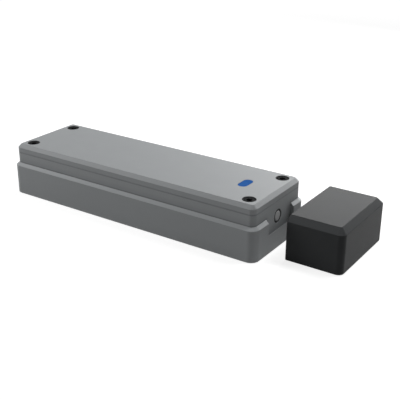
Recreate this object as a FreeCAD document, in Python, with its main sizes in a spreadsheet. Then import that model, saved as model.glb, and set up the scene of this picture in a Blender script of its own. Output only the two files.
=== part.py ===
import FreeCAD, Part
import math
import os

import Sketcher

# Wireless door sensor: a long sensor case for the door frame and a magnet block for the door.
# Millimetres. The origin is the centre of the sensor case's underside, +X runs along the case
# towards the magnet, +Y across it and +Z up through the lid.

doc = FreeCAD.newDocument("door_sensor")
sheet = doc.addObject("Spreadsheet::Sheet", "Sizes")


class Size:
    """A length with the sheet expression that gives it, so that each formula is written once."""

    def __init__(self, value, text):
        self.value = float(value)
        self.text = text

    def joined(self, other, sign, value):
        return Size(value, "(" + self.text + " " + sign + " " + other.text + ")")

    def __add__(self, other):
        other = as_size(other)
        return self.joined(other, "+", self.value + other.value)

    def __radd__(self, other):
        return as_size(other) + self

    def __sub__(self, other):
        other = as_size(other)
        return self.joined(other, "-", self.value - other.value)

    def __rsub__(self, other):
        return as_size(other) - self

    def __mul__(self, other):
        other = as_size(other)
        return self.joined(other, "*", self.value * other.value)

    def __rmul__(self, other):
        return as_size(other) * self

    def __truediv__(self, other):
        other = as_size(other)
        return self.joined(other, "/", self.value / other.value)

    def __neg__(self):
        return as_size(-1) * self


def as_size(number):
    if isinstance(number, Size):
        return number
    return Size(number, "(" + repr(float(number)) + ")")


sheet_row = 0


def dimension(alias, value, meaning):
    """Write one driving dimension to the sheet and return it as a Size."""
    global sheet_row
    sheet_row += 1
    cell = "B" + str(sheet_row)
    sheet.set("A" + str(sheet_row), alias)
    sheet.set(cell, repr(float(value)))
    sheet.set("C" + str(sheet_row), meaning)
    sheet.setAlias(cell, alias)
    return Size(value, "Sizes." + alias)


# Outside of the case and its lid
case_length = dimension("case_length", 150.0, "over the lower block")
case_width = dimension("case_width", 47.2, "over the lower block")
case_corner = dimension("case_corner", 4.4, "upright corners of the lower block")
rim_height = dimension("rim_height", 15.5, "underside to the rim's lower edge")
rim_rise = dimension("rim_rise", 1.4, "height of the sloped rim")
rim_inset = dimension("rim_inset", 1.7, "step from the lower block to the upper wall")
seam_height = dimension("seam_height", 22.6, "underside to the joint with the lid")
lid_height = dimension("lid_height", 4.4, "joint to the top face")
lid_slope = dimension("lid_slope", 1.75, "sloped edge round the lid")
wall = dimension("wall", 2.5, "upper wall")
case_floor = dimension("case_floor", 3.0, "floor of the case")

# Lid screws
screw_inset = dimension("screw_inset", 6.55, "screw axis from both upper walls")
post_reach = dimension("post_reach", 5.0, "screw axis to the post's inner faces")
well_diameter = dimension("well_diameter", 6.4, "screw well in the lid")
well_depth = dimension("well_depth", 3.2, "top face to the head's seat")
head_diameter = dimension("head_diameter", 5.9, "screw head")
head_height = dimension("head_height", 2.9, "screw head")
socket_width = dimension("socket_width", 2.5, "hexagon socket across its flats")
socket_depth = dimension("socket_depth", 1.5, "hexagon socket")
screw_diameter = dimension("screw_diameter", 3.0, "M3 shank")
screw_length = dimension("screw_length", 10.0, "under the head")
screw_gap = dimension("screw_gap", 0.05, "shank to the insert's bore, on the radius")
lid_hole_gap = dimension("lid_hole_gap", 0.2, "shank to the lid's hole, on the radius")
insert_width = dimension("insert_width", 5.0, "hexagonal threaded insert across its flats")
insert_length = dimension("insert_length", 6.0, "threaded insert")
bore_spare = dimension("bore_spare", 2.0, "free bore under the screw's tip")

# Seal between case and lid
seal_width = dimension("seal_width", 1.2, "groove for the gasket")
seal_depth = dimension("seal_depth", 1.4, "groove for the gasket")
seal_edge = dimension("seal_edge", 0.6, "groove to the hollow")
seal_gap = dimension("seal_gap", 0.05, "gasket to the groove's sides")
lid_plate = dimension("lid_plate", 2.4, "lid over the hollow")
lip_depth = dimension("lip_depth", 1.8, "lid's locating lip below the joint")
lip_width = dimension("lip_width", 1.2, "lid's locating lip")
lip_gap = dimension("lip_gap", 0.3, "lip to the hollow's walls")

# Blue window and its light pipe
window_offset = dimension("window_offset", 19.45, "window centre from the case's end")
window_length = dimension("window_length", 9.3, "across the case")
window_width = dimension("window_width", 4.8, "along the case")
window_gap = dimension("window_gap", 0.05, "window to the lid")
pipe_length = dimension("pipe_length", 6.0, "light pipe's stem, across the case")
pipe_width = dimension("pipe_width", 2.8, "light pipe's stem, along the case")
lamp_gap = dimension("lamp_gap", 0.5, "light pipe to the lamp")

# Push button in the end wall and the recess round it
button_height = dimension("button_height", 14.8, "button axis above the underside")
button_diameter = dimension("button_diameter", 4.9, "button face")
button_hole = dimension("button_hole", 6.8, "hole in the end wall")
button_gap = dimension("button_gap", 0.06, "button to its seal, on the radius")
button_travel = dimension("button_travel", 0.6, "press")
button_edge = dimension("button_edge", 0.25, "bevel round the button's face")
seal_recess = dimension("seal_recess", 0.1, "button's seal below the wall's face")
flange_thickness = dimension("flange_thickness", 0.7, "seal's inner flange")
flange_diameter = dimension("flange_diameter", 9.0, "seal's inner flange")
collar_diameter = dimension("collar_diameter", 7.6, "button's collar behind the seal")
collar_thickness = dimension("collar_thickness", 1.0, "button's collar")
stem_diameter = dimension("stem_diameter", 3.0, "button's stem")
stem_length = dimension("stem_length", 0.9, "button's stem")
recess_near = dimension("recess_near", 11.0, "button axis to the recess's near side")
recess_far = dimension("recess_far", 12.5, "button axis to the recess's far side")
recess_floor = dimension("recess_floor", 8.7, "recess floor above the underside")

# Circuit board and its fixings
board_thickness = dimension("board_thickness", 1.6, "board")
board_height = dimension("board_height", 9.0, "underside of the board above the case's underside")
board_gap = dimension("board_gap", 0.8, "board to the hollow's walls")
board_tray_gap = dimension("board_tray_gap", 6.4, "board to the battery tray")
tongue_side_gap = dimension("tongue_side_gap", 1.95, "tongue to the posts beside it")
tongue_gap = dimension("tongue_gap", 3.4, "tongue to the end wall")
standoff_diameter = dimension("standoff_diameter", 6.0, "posts under the board")
standoff_inset = dimension("standoff_inset", 4.2, "board screw from the board's long edges")
standoff_start = dimension("standoff_start", 4.2, "board screw from the board's left edge")
standoff_end = dimension("standoff_end", 9.2, "board screw from the board's right edge")
rest_width = dimension("rest_width", 2.4, "ribs that the board rests on")
board_screw = dimension("board_screw", 2.2, "board screw's shank")
board_screw_gap = dimension("board_screw_gap", 0.1, "shank to its hole, on the radius")
board_screw_head = dimension("board_screw_head", 4.4, "board screw's head")
board_screw_rise = dimension("board_screw_rise", 1.5, "board screw's head")
board_screw_length = dimension("board_screw_length", 6.0, "under the head")

# Two AA lithium cells and their tray
cell_diameter = dimension("cell_diameter", 14.2, "cell")
cell_length = dimension("cell_length", 49.2, "cell without its button")
cell_button = dimension("cell_button", 5.5, "positive button")
cell_button_rise = dimension("cell_button_rise", 1.2, "positive button")
cell_gap = dimension("cell_gap", 0.2, "cell to the tray")
tray_gap = dimension("tray_gap", 0.8, "tray to the posts at the case's end")
tray_wall = dimension("tray_wall", 1.5, "tray's walls")
tray_floor = dimension("tray_floor", 1.4, "tray's floor")
tray_end_room = dimension("tray_end_room", 1.6, "contact and its plate at each end")
tray_side_height = dimension("tray_side_height", 8.5, "tray's side walls")
tray_end_height = dimension("tray_end_height", 10.5, "tray's end walls")
contact_thickness = dimension("contact_thickness", 0.4, "contact plates")
contact_width = dimension("contact_width", 9.0, "contact plates")
leaf_width = dimension("leaf_width", 4.0, "sprung leaf of each contact")
leaf_spread = dimension("leaf_spread", 3.4, "leaf's feet from the cell's axis")
leaf_touch = dimension("leaf_touch", 0.5, "leaf's flat on the cell, above and below the axis")
tab_length = dimension("tab_length", 1.9, "solder tab over the tray's end wall")
peg_side = dimension("peg_side", 3.0, "square pegs that locate the tray")
peg_gap = dimension("peg_gap", 0.1, "peg to its hole, on each side")
peg_span = dimension("peg_span", 36.0, "pegs, along the case")
partition_height = dimension("partition_height", 6.5, "rib between cells and board")
partition_thickness = dimension("partition_thickness", 1.5, "rib between cells and board")
partition_gap = dimension("partition_gap", 1.0, "rib to the battery tray")

# Leads from the tray to the board
lead_diameter = dimension("lead_diameter", 1.2, "insulated lead")
lead_pitch = dimension("lead_pitch", 2.5, "lead to lead")
lead_rise = dimension("lead_rise", 0.6, "straight ends of each lead")
header_length = dimension("header_length", 5.0, "board header, along the case")
header_width = dimension("header_width", 7.4, "board header, across the case")
header_height = dimension("header_height", 3.0, "board header")
header_start = dimension("header_start", 4.6, "header's middle from the board's left edge")
plug_edge = dimension("plug_edge", 0.6, "plug inside the header's outline")

# Parts on the board
module_length = dimension("module_length", 24.0, "radio module, along the case")
module_width = dimension("module_width", 13.0, "radio module, across the case")
module_thickness = dimension("module_thickness", 0.9, "radio module's own board")
module_middle = dimension("module_middle", 24.0, "radio module's middle from the board's right edge")
shield_length = dimension("shield_length", 15.5, "shield can")
shield_width = dimension("shield_width", 11.2, "shield can")
shield_height = dimension("shield_height", 2.2, "shield can")
shield_corner = dimension("shield_corner", 0.8, "shield can's upright corners")
aerial_length = dimension("aerial_length", 26.0, "bent metal aerial, along the case")
aerial_width = dimension("aerial_width", 6.0, "bent metal aerial")
aerial_height = dimension("aerial_height", 6.5, "bent metal aerial")
aerial_thickness = dimension("aerial_thickness", 0.4, "aerial's sheet")
aerial_inset = dimension("aerial_inset", 1.0, "aerial from the board's near edge")
aerial_leg = dimension("aerial_leg", 1.6, "aerial's feed leg and foot")
aerial_feed = dimension("aerial_feed", 6.5, "feed leg from the aerial's end")
chip_side = dimension("chip_side", 8.0, "controller chip")
chip_height = dimension("chip_height", 1.2, "controller chip")
chip_middle = dimension("chip_middle", 21.5, "chip's middle from the board's left edge")
chip_inset = dimension("chip_inset", 5.2, "chip's middle from the board's far edge")
store_diameter = dimension("store_diameter", 8.0, "hold-up capacitor")
store_height = dimension("store_height", 9.5, "hold-up capacitor")
store_middle = dimension("store_middle", 12.0, "capacitor's middle from the board's left edge")
store_inset = dimension("store_inset", 5.0, "capacitor's middle from the board's far edge")
reed_diameter = dimension("reed_diameter", 2.2, "reed switch's glass")
reed_length = dimension("reed_length", 11.0, "reed switch's glass")
reed_rise = dimension("reed_rise", 0.4, "glass above the board")
reed_inset = dimension("reed_inset", 1.9, "glass axis from the board's right edge")
reed_far = dimension("reed_far", 10.4, "glass middle from the board's far edge")
reed_wire = dimension("reed_wire", 0.6, "reed switch's wires")
reed_wire_reach = dimension("reed_wire_reach", 1.5, "wires beyond the glass")
lamp_length = dimension("lamp_length", 3.2, "status lamp, across the case")
lamp_width = dimension("lamp_width", 2.8, "status lamp, along the case")
lamp_height = dimension("lamp_height", 1.6, "status lamp")
switch_length = dimension("switch_length", 4.0, "press switch, along the case")
switch_width = dimension("switch_width", 6.2, "press switch, across the case")
switch_height = dimension("switch_height", 6.8, "press switch")
plunger_diameter = dimension("plunger_diameter", 3.2, "press switch's plunger")
plunger_gap = dimension("plunger_gap", 0.08, "plunger to the switch, on the radius")
plunger_depth = dimension("plunger_depth", 0.75, "plunger inside the switch")
plunger_room = dimension("plunger_room", 0.15, "spare depth behind the pressed plunger")

# Adhesive pads
tape_thickness = dimension("tape_thickness", 0.8, "both pads")
tape_corner = dimension("tape_corner", 3.0, "both pads")
tape_gap = dimension("tape_gap", 0.3, "pad to the edge of its recess")
tape_length = dimension("tape_length", 120.0, "recess under the case")
tape_width = dimension("tape_width", 32.0, "recess under the case")

# Magnet block
block_gap = dimension("block_gap", 8.7, "case's end to the block")
block_length = dimension("block_length", 27.8, "block, along the case")
block_width = dimension("block_width", 45.4, "block, across the case")
block_height = dimension("block_height", 21.7, "block")
block_offset = dimension("block_offset", 11.3, "block's middle, on the far side of the case's middle")
block_slope = dimension("block_slope", 2.75, "sloped top edges on three sides")
block_slope_case = dimension("block_slope_case", 0.55, "sloped top edge facing the case")
block_corner = dimension("block_corner", 3.0, "upright corners away from the case")
block_corner_case = dimension("block_corner_case", 1.0, "upright corners facing the case")
block_corner_top = dimension("block_corner_top", 0.8, "corners of the top face")
block_wall = dimension("block_wall", 2.2, "block's walls")
block_roof = dimension("block_roof", 4.4, "block's top over the hollow")
plate_thickness = dimension("plate_thickness", 2.0, "plate that closes the block")
plate_gap = dimension("plate_gap", 0.1, "plate to the block's walls")
magnet_length = dimension("magnet_length", 34.0, "bar magnet, across the case")
magnet_width = dimension("magnet_width", 12.0, "bar magnet, along the case")
magnet_height = dimension("magnet_height", 8.0, "bar magnet")
magnet_rise = dimension("magnet_rise", 4.0, "plate to the magnet's underside")
saddle_width = dimension("saddle_width", 2.0, "ribs that hold the magnet")
saddle_reach = dimension("saddle_reach", 10.0, "ribs from the magnet's middle")
saddle_lip = dimension("saddle_lip", 2.0, "ribs up the magnet's sides")
saddle_gap = dimension("saddle_gap", 0.2, "ribs to the magnet's sides")
block_tape_edge = dimension("block_tape_edge", 2.4, "plate's edge to the pad's recess")

# Places that several pieces share
upper_length = case_length - 2 * rim_inset
upper_width = case_width - 2 * rim_inset
upper_corner = case_corner - rim_inset
rim_top = rim_height + rim_rise
top_height = seam_height + lid_height
hollow_x = upper_length / 2 - wall
hollow_y = upper_width / 2 - wall
screw_x = upper_length / 2 - screw_inset
screw_y = upper_width / 2 - screw_inset
step_x = screw_x - post_reach
step_y = screw_y - post_reach
head_seat = top_height - well_depth
window_x = case_length / 2 - window_offset
cell_low = case_floor + tray_floor + cell_gap / 2
cell_axis = cell_low + cell_diameter / 2
cell_side = cell_diameter / 2 + cell_gap / 2
tray_inner_x = (cell_length + cell_button_rise) / 2 + tray_end_room
tray_inner_y = cell_side + cell_diameter / 2 + cell_gap
tray_outer_x = tray_inner_x + tray_wall
tray_middle = step_x - tray_gap - tray_outer_x
tray_right = tray_outer_x - tray_middle
board_top = board_height + board_thickness
board_start = tray_right + board_tray_gap
board_right = step_x - board_gap
board_edge = hollow_y - board_gap
tongue_edge = step_y - tongue_side_gap
reed_y = board_edge - reed_far
wall_face = upper_length / 2
block_left = case_length / 2 + block_gap
block_middle = block_left + block_length / 2
magnet_low = tape_thickness + plate_thickness + magnet_rise
magnet_top = magnet_low + magnet_height

SCREW_SIGNS = [(1, 1), (1, -1), (-1, -1), (-1, 1)]


def new_body(label):
    body = doc.addObject("PartDesign::Body", label)
    body.Label = label
    return body


def origin_plane(body, role):
    for feature in body.Origin.OriginFeatures:
        if feature.Role == role:
            return feature
    raise ValueError("no origin plane " + role)


def new_sketch(body, name, role="XY_Plane", height=None):
    """Attach a sketch to one of the body's origin planes, raised along its normal by height."""
    sketch = body.newObject("Sketcher::SketchObject", name)
    sketch.AttachmentSupport = (origin_plane(body, role), [""])
    sketch.MapMode = "FlatFace"
    if height is not None:
        sketch.AttachmentOffset = FreeCAD.Placement(FreeCAD.Vector(0, 0, height.value), FreeCAD.Rotation())
        sketch.setExpression("AttachmentOffset.Base.z", height.text)
    return sketch


def fix(sketch, kind, geometry, corner, size):
    """Hold one point of the sketch at a signed distance from its origin, read from the sheet."""
    if abs(size.value) < 1e-9:
        axis = -2 if kind == "DistanceX" else -1
        sketch.addConstraint(Sketcher.Constraint("PointOnObject", geometry, corner, axis))
        return
    index = sketch.addConstraint(Sketcher.Constraint(kind, -1, 1, geometry, corner, size.value))
    sketch.setExpression("Constraints[" + str(index) + "]", size.text)


def polygon(sketch, points):
    """Draw a closed polygon through points, pairs of Size, each held from the sketch's origin."""
    points = [(as_size(x), as_size(y)) for x, y in points]
    vectors = [FreeCAD.Vector(x.value, y.value, 0) for x, y in points]
    count = len(points)
    first = sketch.GeometryCount
    for number in range(count):
        sketch.addGeometry(Part.LineSegment(vectors[number], vectors[(number + 1) % count]), False)
    for number in range(count):
        following = first + (number + 1) % count
        sketch.addConstraint(Sketcher.Constraint("Coincident", first + number, 2, following, 1))
    for number, (x, y) in enumerate(points):
        fix(sketch, "DistanceX", first + number, 1, x)
        fix(sketch, "DistanceY", first + number, 1, y)


def square(sketch, x, y, side):
    x, y = as_size(x), as_size(y)
    half = side / 2
    left, right, low, high = x - half, x + half, y - half, y + half
    polygon(sketch, [(left, low), (right, low), (right, high), (left, high)])


def hexagon(sketch, x, y, across_flats):
    x, y = as_size(x), as_size(y)
    corner = across_flats / math.sqrt(3)
    half = across_flats / 2
    points = [
        (x + corner, y), (x + corner / 2, y + half), (x - corner / 2, y + half),
        (x - corner, y), (x - corner / 2, y - half), (x + corner / 2, y - half),
    ]
    polygon(sketch, points)


def circle(sketch, x, y, diameter):
    x = as_size(x)
    y = as_size(y)
    centre = FreeCAD.Vector(x.value, y.value, 0)
    up = FreeCAD.Vector(0, 0, 1)
    index = sketch.addGeometry(Part.Circle(centre, up, diameter.value / 2), False)
    fix(sketch, "DistanceX", index, 3, x)
    fix(sketch, "DistanceY", index, 3, y)
    number = sketch.addConstraint(Sketcher.Constraint("Diameter", index, diameter.value))
    sketch.setExpression("Constraints[" + str(number) + "]", diameter.text)


def rounded_rectangle(sketch, left, right, low, high, radii):
    """Draw a rectangle with four rounded corners, radii counted anticlockwise from low right."""
    left, right, low, high = as_size(left), as_size(right), as_size(low), as_size(high)
    first = sketch.GeometryCount
    x_of = [right.value, right.value, left.value, left.value]
    y_of = [low.value, high.value, high.value, low.value]
    inward = [(-1, 1), (-1, -1), (1, -1), (1, 1)]
    centres = []
    for number in range(4):
        radius = radii[number].value
        x = x_of[number] + inward[number][0] * radius
        y = y_of[number] + inward[number][1] * radius
        centres.append(FreeCAD.Vector(x, y, 0))
    up = FreeCAD.Vector(0, 0, 1)
    for number in range(4):
        start = math.pi * (number - 1) / 2
        round_corner = Part.Circle(centres[number], up, radii[number].value)
        sketch.addGeometry(Part.ArcOfCircle(round_corner, start, start + math.pi / 2), False)
    for number in range(4):
        begin = sketch.getPoint(first + number, 2)
        end = sketch.getPoint(first + (number + 1) % 4, 1)
        sketch.addGeometry(Part.LineSegment(begin, end), False)
    for number in range(4):
        side = first + 4 + number
        following = first + (number + 1) % 4
        sketch.addConstraint(Sketcher.Constraint("Tangent", first + number, 2, side, 1))
        sketch.addConstraint(Sketcher.Constraint("Tangent", side, 2, following, 1))
        straight = "Vertical" if number % 2 == 0 else "Horizontal"
        sketch.addConstraint(Sketcher.Constraint(straight, side))
        index = sketch.addConstraint(Sketcher.Constraint("Radius", first + number, radii[number].value))
        sketch.setExpression("Constraints[" + str(index) + "]", radii[number].text)
    fix(sketch, "DistanceX", first + 4, 1, right)
    fix(sketch, "DistanceY", first + 5, 1, high)
    fix(sketch, "DistanceX", first + 6, 1, left)
    fix(sketch, "DistanceY", first + 7, 1, low)


def centred_rectangle(sketch, length, width, radius):
    rounded_rectangle(sketch, -length / 2, length / 2, -width / 2, width / 2, [radius] * 4)


def stepped_outline(sketch, half_x, half_y, step_in_x, step_in_y):
    """Draw the outline of the hollow: a rectangle whose four corners step in round the posts."""
    points = [
        (half_x, -step_in_y), (half_x, step_in_y), (step_in_x, step_in_y), (step_in_x, half_y),
        (-step_in_x, half_y), (-step_in_x, step_in_y), (-half_x, step_in_y), (-half_x, -step_in_y),
        (-step_in_x, -step_in_y), (-step_in_x, -half_y), (step_in_x, -half_y), (step_in_x, -step_in_y),
    ]
    polygon(sketch, points)


def obround(sketch, x, y, length, width):
    """Draw a slot with round ends, its long axis along the sketch's Y."""
    x, y = as_size(x), as_size(y)
    radius = width / 2
    half = (length - width) / 2
    up = FreeCAD.Vector(0, 0, 1)
    first = sketch.GeometryCount
    top = FreeCAD.Vector(x.value, y.value + half.value, 0)
    bottom = FreeCAD.Vector(x.value, y.value - half.value, 0)
    sketch.addGeometry(Part.ArcOfCircle(Part.Circle(top, up, radius.value), 0, math.pi), False)
    sketch.addGeometry(Part.ArcOfCircle(Part.Circle(bottom, up, radius.value), math.pi, 2 * math.pi), False)
    ends = [(first, 2, first + 1, 1), (first + 1, 2, first, 1)]
    for begin, begin_point, end, end_point in ends:
        line = Part.LineSegment(sketch.getPoint(begin, begin_point), sketch.getPoint(end, end_point))
        side = sketch.addGeometry(line, False)
        sketch.addConstraint(Sketcher.Constraint("Tangent", begin, begin_point, side, 1))
        sketch.addConstraint(Sketcher.Constraint("Tangent", side, 2, end, end_point))
    fix(sketch, "DistanceX", first, 3, x)
    fix(sketch, "DistanceY", first, 3, y + half)
    fix(sketch, "DistanceX", first + 1, 3, x)
    fix(sketch, "DistanceY", first + 1, 3, y - half)
    index = sketch.addConstraint(Sketcher.Constraint("Radius", first, radius.value))
    sketch.setExpression("Constraints[" + str(index) + "]", radius.text)


def pad(body, sketch, length, name, backward=False):
    feature = body.newObject("PartDesign::Pad", name)
    feature.Profile = sketch
    feature.Length = length.value
    feature.setExpression("Length", length.text)
    feature.Reversed = backward
    doc.recompute()
    return feature


def pocket(body, sketch, length, name, forward=False):
    """Cut the sketch into the body against the sketch's normal, or along it with forward."""
    before = body.Shape.Volume
    feature = body.newObject("PartDesign::Pocket", name)
    feature.Profile = sketch
    feature.Length = length.value
    feature.setExpression("Length", length.text)
    feature.Reversed = forward
    doc.recompute()
    if body.Shape.Volume >= before:
        raise ValueError("the pocket " + name + " removes nothing")
    return feature


def edges_where(shape, test):
    return ["Edge" + str(number + 1) for number, edge in enumerate(shape.Edges) if test(edge)]


def lies_at_height(edge, height):
    box = edge.BoundBox
    return abs(box.ZMin - height.value) < 1e-4 and abs(box.ZMax - height.value) < 1e-4


def sloped_edge(body, base, edges, inset, drop, name):
    """Bevel edges of the top face: inset is taken from the top and drop from the sides."""
    feature = body.newObject("PartDesign::Chamfer", name)
    feature.Base = (base, edges)
    feature.ChamferType = "Two distances"
    feature.Size = drop.value
    feature.setExpression("Size", drop.text)
    feature.Size2 = inset.value
    feature.setExpression("Size2", inset.text)
    doc.recompute()
    return feature


def turned(label, profile, upright):
    """Turn a closed profile about the body's Z axis if upright, or about its X axis."""
    body = new_body(label)
    sketch = new_sketch(body, label + "_profile", "XZ_Plane")
    polygon(sketch, profile)
    feature = body.newObject("PartDesign::Revolution", label + "_turned")
    feature.Profile = sketch
    feature.ReferenceAxis = (sketch, ["V_Axis" if upright else "H_Axis"])
    feature.Angle = 360
    doc.recompute()
    return body


def place(item, x, y, z):
    sizes = {"x": as_size(x), "y": as_size(y), "z": as_size(z)}
    base = FreeCAD.Vector(sizes["x"].value, sizes["y"].value, sizes["z"].value)
    item.Placement = FreeCAD.Placement(base, item.Placement.Rotation)
    for axis, size in sizes.items():
        item.setExpression("Placement.Base." + axis, size.text)


def bind(item, name, size):
    setattr(item, name, size.value)
    item.setExpression(name, size.text)


def box(name, left, right, near, far, low, high):
    item = doc.addObject("Part::Box", name)
    bind(item, "Length", as_size(right) - left)
    bind(item, "Width", as_size(far) - near)
    bind(item, "Height", as_size(high) - low)
    place(item, left, near, low)
    return item


def block(name, x, y, length, width, low, high):
    """A box centred on x and y."""
    x, y = as_size(x), as_size(y)
    return box(name, x - length / 2, x + length / 2, y - width / 2, y + width / 2, low, high)


def rod(name, x, y, diameter, low, high):
    item = doc.addObject("Part::Cylinder", name)
    bind(item, "Radius", diameter / 2)
    bind(item, "Height", as_size(high) - low)
    place(item, x, y, low)
    return item


def fused(label, pieces):
    item = doc.addObject("Part::MultiFuse", label)
    item.Shapes = pieces
    item.Label = label
    return item


def group(label, pieces):
    item = doc.addObject("Part::Compound", label)
    item.Links = pieces
    item.Label = label
    return item


def screw_axes():
    for sign_x, sign_y in SCREW_SIGNS:
        yield sign_x * screw_x, sign_y * screw_y


def standoff_axes():
    """The two board screws, at opposite corners of the board."""
    yield board_start + standoff_start, standoff_inset - board_edge
    yield board_right - standoff_end, board_edge - standoff_inset


def rest_axes():
    """The two plain ribs under the board, at its other corners."""
    yield board_start + standoff_start, board_edge - standoff_inset
    yield board_right - standoff_end, standoff_inset - board_edge


def peg_axes():
    for sign in (-1, 1):
        yield -tray_middle + sign * peg_span / 2, as_size(0)


# The case is a moulded tub. Its lower block steps in to the upper wall over a sloped rim.
def make_base_case():
    body = new_body("base_case")
    outline = new_sketch(body, "block_outline")
    centred_rectangle(outline, case_length, case_width, case_corner)
    lower = pad(body, outline, rim_top, "lower_block")
    rim = edges_where(lower.Shape, lambda edge: lies_at_height(edge, rim_top))
    sloped_edge(body, lower, rim, rim_inset, rim_rise, "sloped_rim")
    upper = new_sketch(body, "upper_outline")
    centred_rectangle(upper, upper_length, upper_width, upper_corner)
    pad(body, upper, seam_height, "upper_wall")

    hollow = new_sketch(body, "hollow_outline", height=seam_height)
    stepped_outline(hollow, hollow_x, hollow_y, step_x, step_y)
    pocket(body, hollow, seam_height - case_floor, "hollow")

    standoffs = new_sketch(body, "standoff_outlines", height=case_floor / 2)
    for x, y in standoff_axes():
        circle(standoffs, x, y, standoff_diameter)
    for x, y in rest_axes():
        square(standoffs, x, y, rest_width)
    pad(body, standoffs, board_height - case_floor / 2, "standoffs")

    pegs = new_sketch(body, "peg_outlines", height=case_floor / 2)
    for x, y in peg_axes():
        square(pegs, x, y, peg_side)
    pad(body, pegs, case_floor / 2 + tray_floor, "tray_pegs")

    partition = new_sketch(body, "partition_outline", height=case_floor / 2)
    left = tray_right + partition_gap
    right = left + partition_thickness
    far = hollow_y + wall / 2
    polygon(partition, [(left, -far), (right, -far), (right, far), (left, far)])
    pad(body, partition, partition_height + case_floor / 2, "partition")

    insert_bores = new_sketch(body, "insert_bores", height=seam_height)
    for x, y in screw_axes():
        hexagon(insert_bores, x, y, insert_width)
    tip = head_seat - screw_length
    pocket(body, insert_bores, seam_height - tip + bore_spare, "insert_pockets")

    board_bores = new_sketch(body, "board_screw_bores", height=board_height)
    for x, y in standoff_axes():
        circle(board_bores, x, y, board_screw + 2 * board_screw_gap)
    pocket(body, board_bores, board_screw_length - board_thickness + board_screw_gap, "board_screw_pockets")

    groove = new_sketch(body, "groove_outline", height=seam_height)
    inner = seal_edge
    outer = seal_edge + seal_width
    stepped_outline(groove, hollow_x + inner, hollow_y + inner, step_x + inner, step_y + inner)
    stepped_outline(groove, hollow_x + outer, hollow_y + outer, step_x + outer, step_y + outer)
    pocket(body, groove, seal_depth, "gasket_groove")

    recess = new_sketch(body, "recess_outline", "YZ_Plane", case_length / 2)
    above = rim_top + rim_rise
    near, far = -recess_near, recess_far
    polygon(recess, [(near, recess_floor), (far, recess_floor), (far, above), (near, above)])
    pocket(body, recess, rim_inset, "button_recess")

    hole = new_sketch(body, "button_hole_outline", "YZ_Plane", wall_face)
    circle(hole, 0, button_height, button_hole)
    pocket(body, hole, wall + seal_recess, "button_hole")

    tape = new_sketch(body, "tape_outline")
    centred_rectangle(tape, tape_length, tape_width, tape_corner)
    pocket(body, tape, tape_thickness, "tape_recess", forward=True)
    return body


def make_gasket():
    body = new_body("gasket")
    ring = new_sketch(body, "gasket_outline", height=seam_height - seal_depth)
    inner = seal_edge + seal_gap
    outer = seal_edge + seal_width - seal_gap
    stepped_outline(ring, hollow_x + inner, hollow_y + inner, step_x + inner, step_y + inner)
    stepped_outline(ring, hollow_x + outer, hollow_y + outer, step_x + outer, step_y + outer)
    pad(body, ring, seal_depth, "gasket_ring")
    return body


# The lid is a plate with a sloped edge. Its corners stay full height over the posts, and a lip
# under it drops into the hollow.
def make_lid():
    body = new_body("lid")
    outline = new_sketch(body, "lid_outline", height=seam_height)
    centred_rectangle(outline, upper_length, upper_width, upper_corner)
    plate = pad(body, outline, lid_height, "lid_plate")
    rim = edges_where(plate.Shape, lambda edge: lies_at_height(edge, top_height))
    sloped_edge(body, plate, rim, lid_slope, lid_slope, "lid_sloped_edge")

    relief = new_sketch(body, "relief_outline", height=seam_height)
    stepped_outline(relief, hollow_x, hollow_y, step_x, step_y)
    pocket(body, relief, lid_height - lid_plate, "relief", forward=True)

    lip = new_sketch(body, "lip_outline", height=seam_height - lip_depth)
    outer = -lip_gap
    inner = -(lip_gap + lip_width)
    stepped_outline(lip, hollow_x + outer, hollow_y + outer, step_x + outer, step_y + outer)
    stepped_outline(lip, hollow_x + inner, hollow_y + inner, step_x + inner, step_y + inner)
    pad(body, lip, lip_depth + lid_height - lid_plate, "locating_lip")

    wells = new_sketch(body, "well_outlines", height=top_height)
    for x, y in screw_axes():
        circle(wells, x, y, well_diameter)
    pocket(body, wells, well_depth, "screw_wells")
    holes = new_sketch(body, "lid_hole_outlines", height=head_seat)
    for x, y in screw_axes():
        circle(holes, x, y, screw_diameter + 2 * lid_hole_gap)
    pocket(body, holes, lid_height, "lid_holes")

    window = new_sketch(body, "window_outline", height=top_height)
    obround(window, window_x, 0, window_length + 2 * window_gap, window_width + 2 * window_gap)
    pocket(body, window, lid_height, "window_opening")
    return body


def make_light_pipe():
    body = new_body("light_pipe")
    head = new_sketch(body, "pipe_head", height=top_height - lid_plate)
    obround(head, window_x, 0, window_length, window_width)
    pad(body, head, lid_plate, "pipe_window")
    stem = new_sketch(body, "pipe_stem", height=board_top + lamp_height + lamp_gap)
    obround(stem, window_x, 0, pipe_length, pipe_width)
    pad(body, stem, top_height - lid_plate - (board_top + lamp_height + lamp_gap), "pipe_column")
    return body


def make_lid_screw(number, x, y):
    label = "lid_screw_" + str(number)
    tip = head_seat - screw_length
    head_top = head_seat + head_height
    profile = [
        (0, tip), (screw_diameter / 2, tip), (screw_diameter / 2, head_seat),
        (head_diameter / 2, head_seat), (head_diameter / 2, head_top), (0, head_top),
    ]
    body = turned(label, profile, True)
    socket = new_sketch(body, label + "_socket", height=head_top)
    hexagon(socket, 0, 0, socket_width)
    pocket(body, socket, socket_depth, label + "_drive")
    place(body, x, y, 0)
    return body


def make_threaded_inserts():
    bushes = []
    for number, (x, y) in enumerate(screw_axes(), start=1):
        label = "insert_" + str(number)
        bush = new_body(label)
        outline = new_sketch(bush, label + "_outline", height=seam_height - insert_length)
        hexagon(outline, 0, 0, insert_width)
        circle(outline, 0, 0, screw_diameter + 2 * screw_gap)
        pad(bush, outline, insert_length, label + "_bush")
        place(bush, x, y, 0)
        bushes.append(bush)
    return group("threaded_inserts", bushes)


def make_mounting_tape():
    body = new_body("mounting_tape")
    outline = new_sketch(body, "tape_pad_outline")
    length = tape_length - 2 * tape_gap
    width = tape_width - 2 * tape_gap
    centred_rectangle(outline, length, width, tape_corner - tape_gap)
    pad(body, outline, tape_thickness, "tape_pad")
    return body


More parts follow.
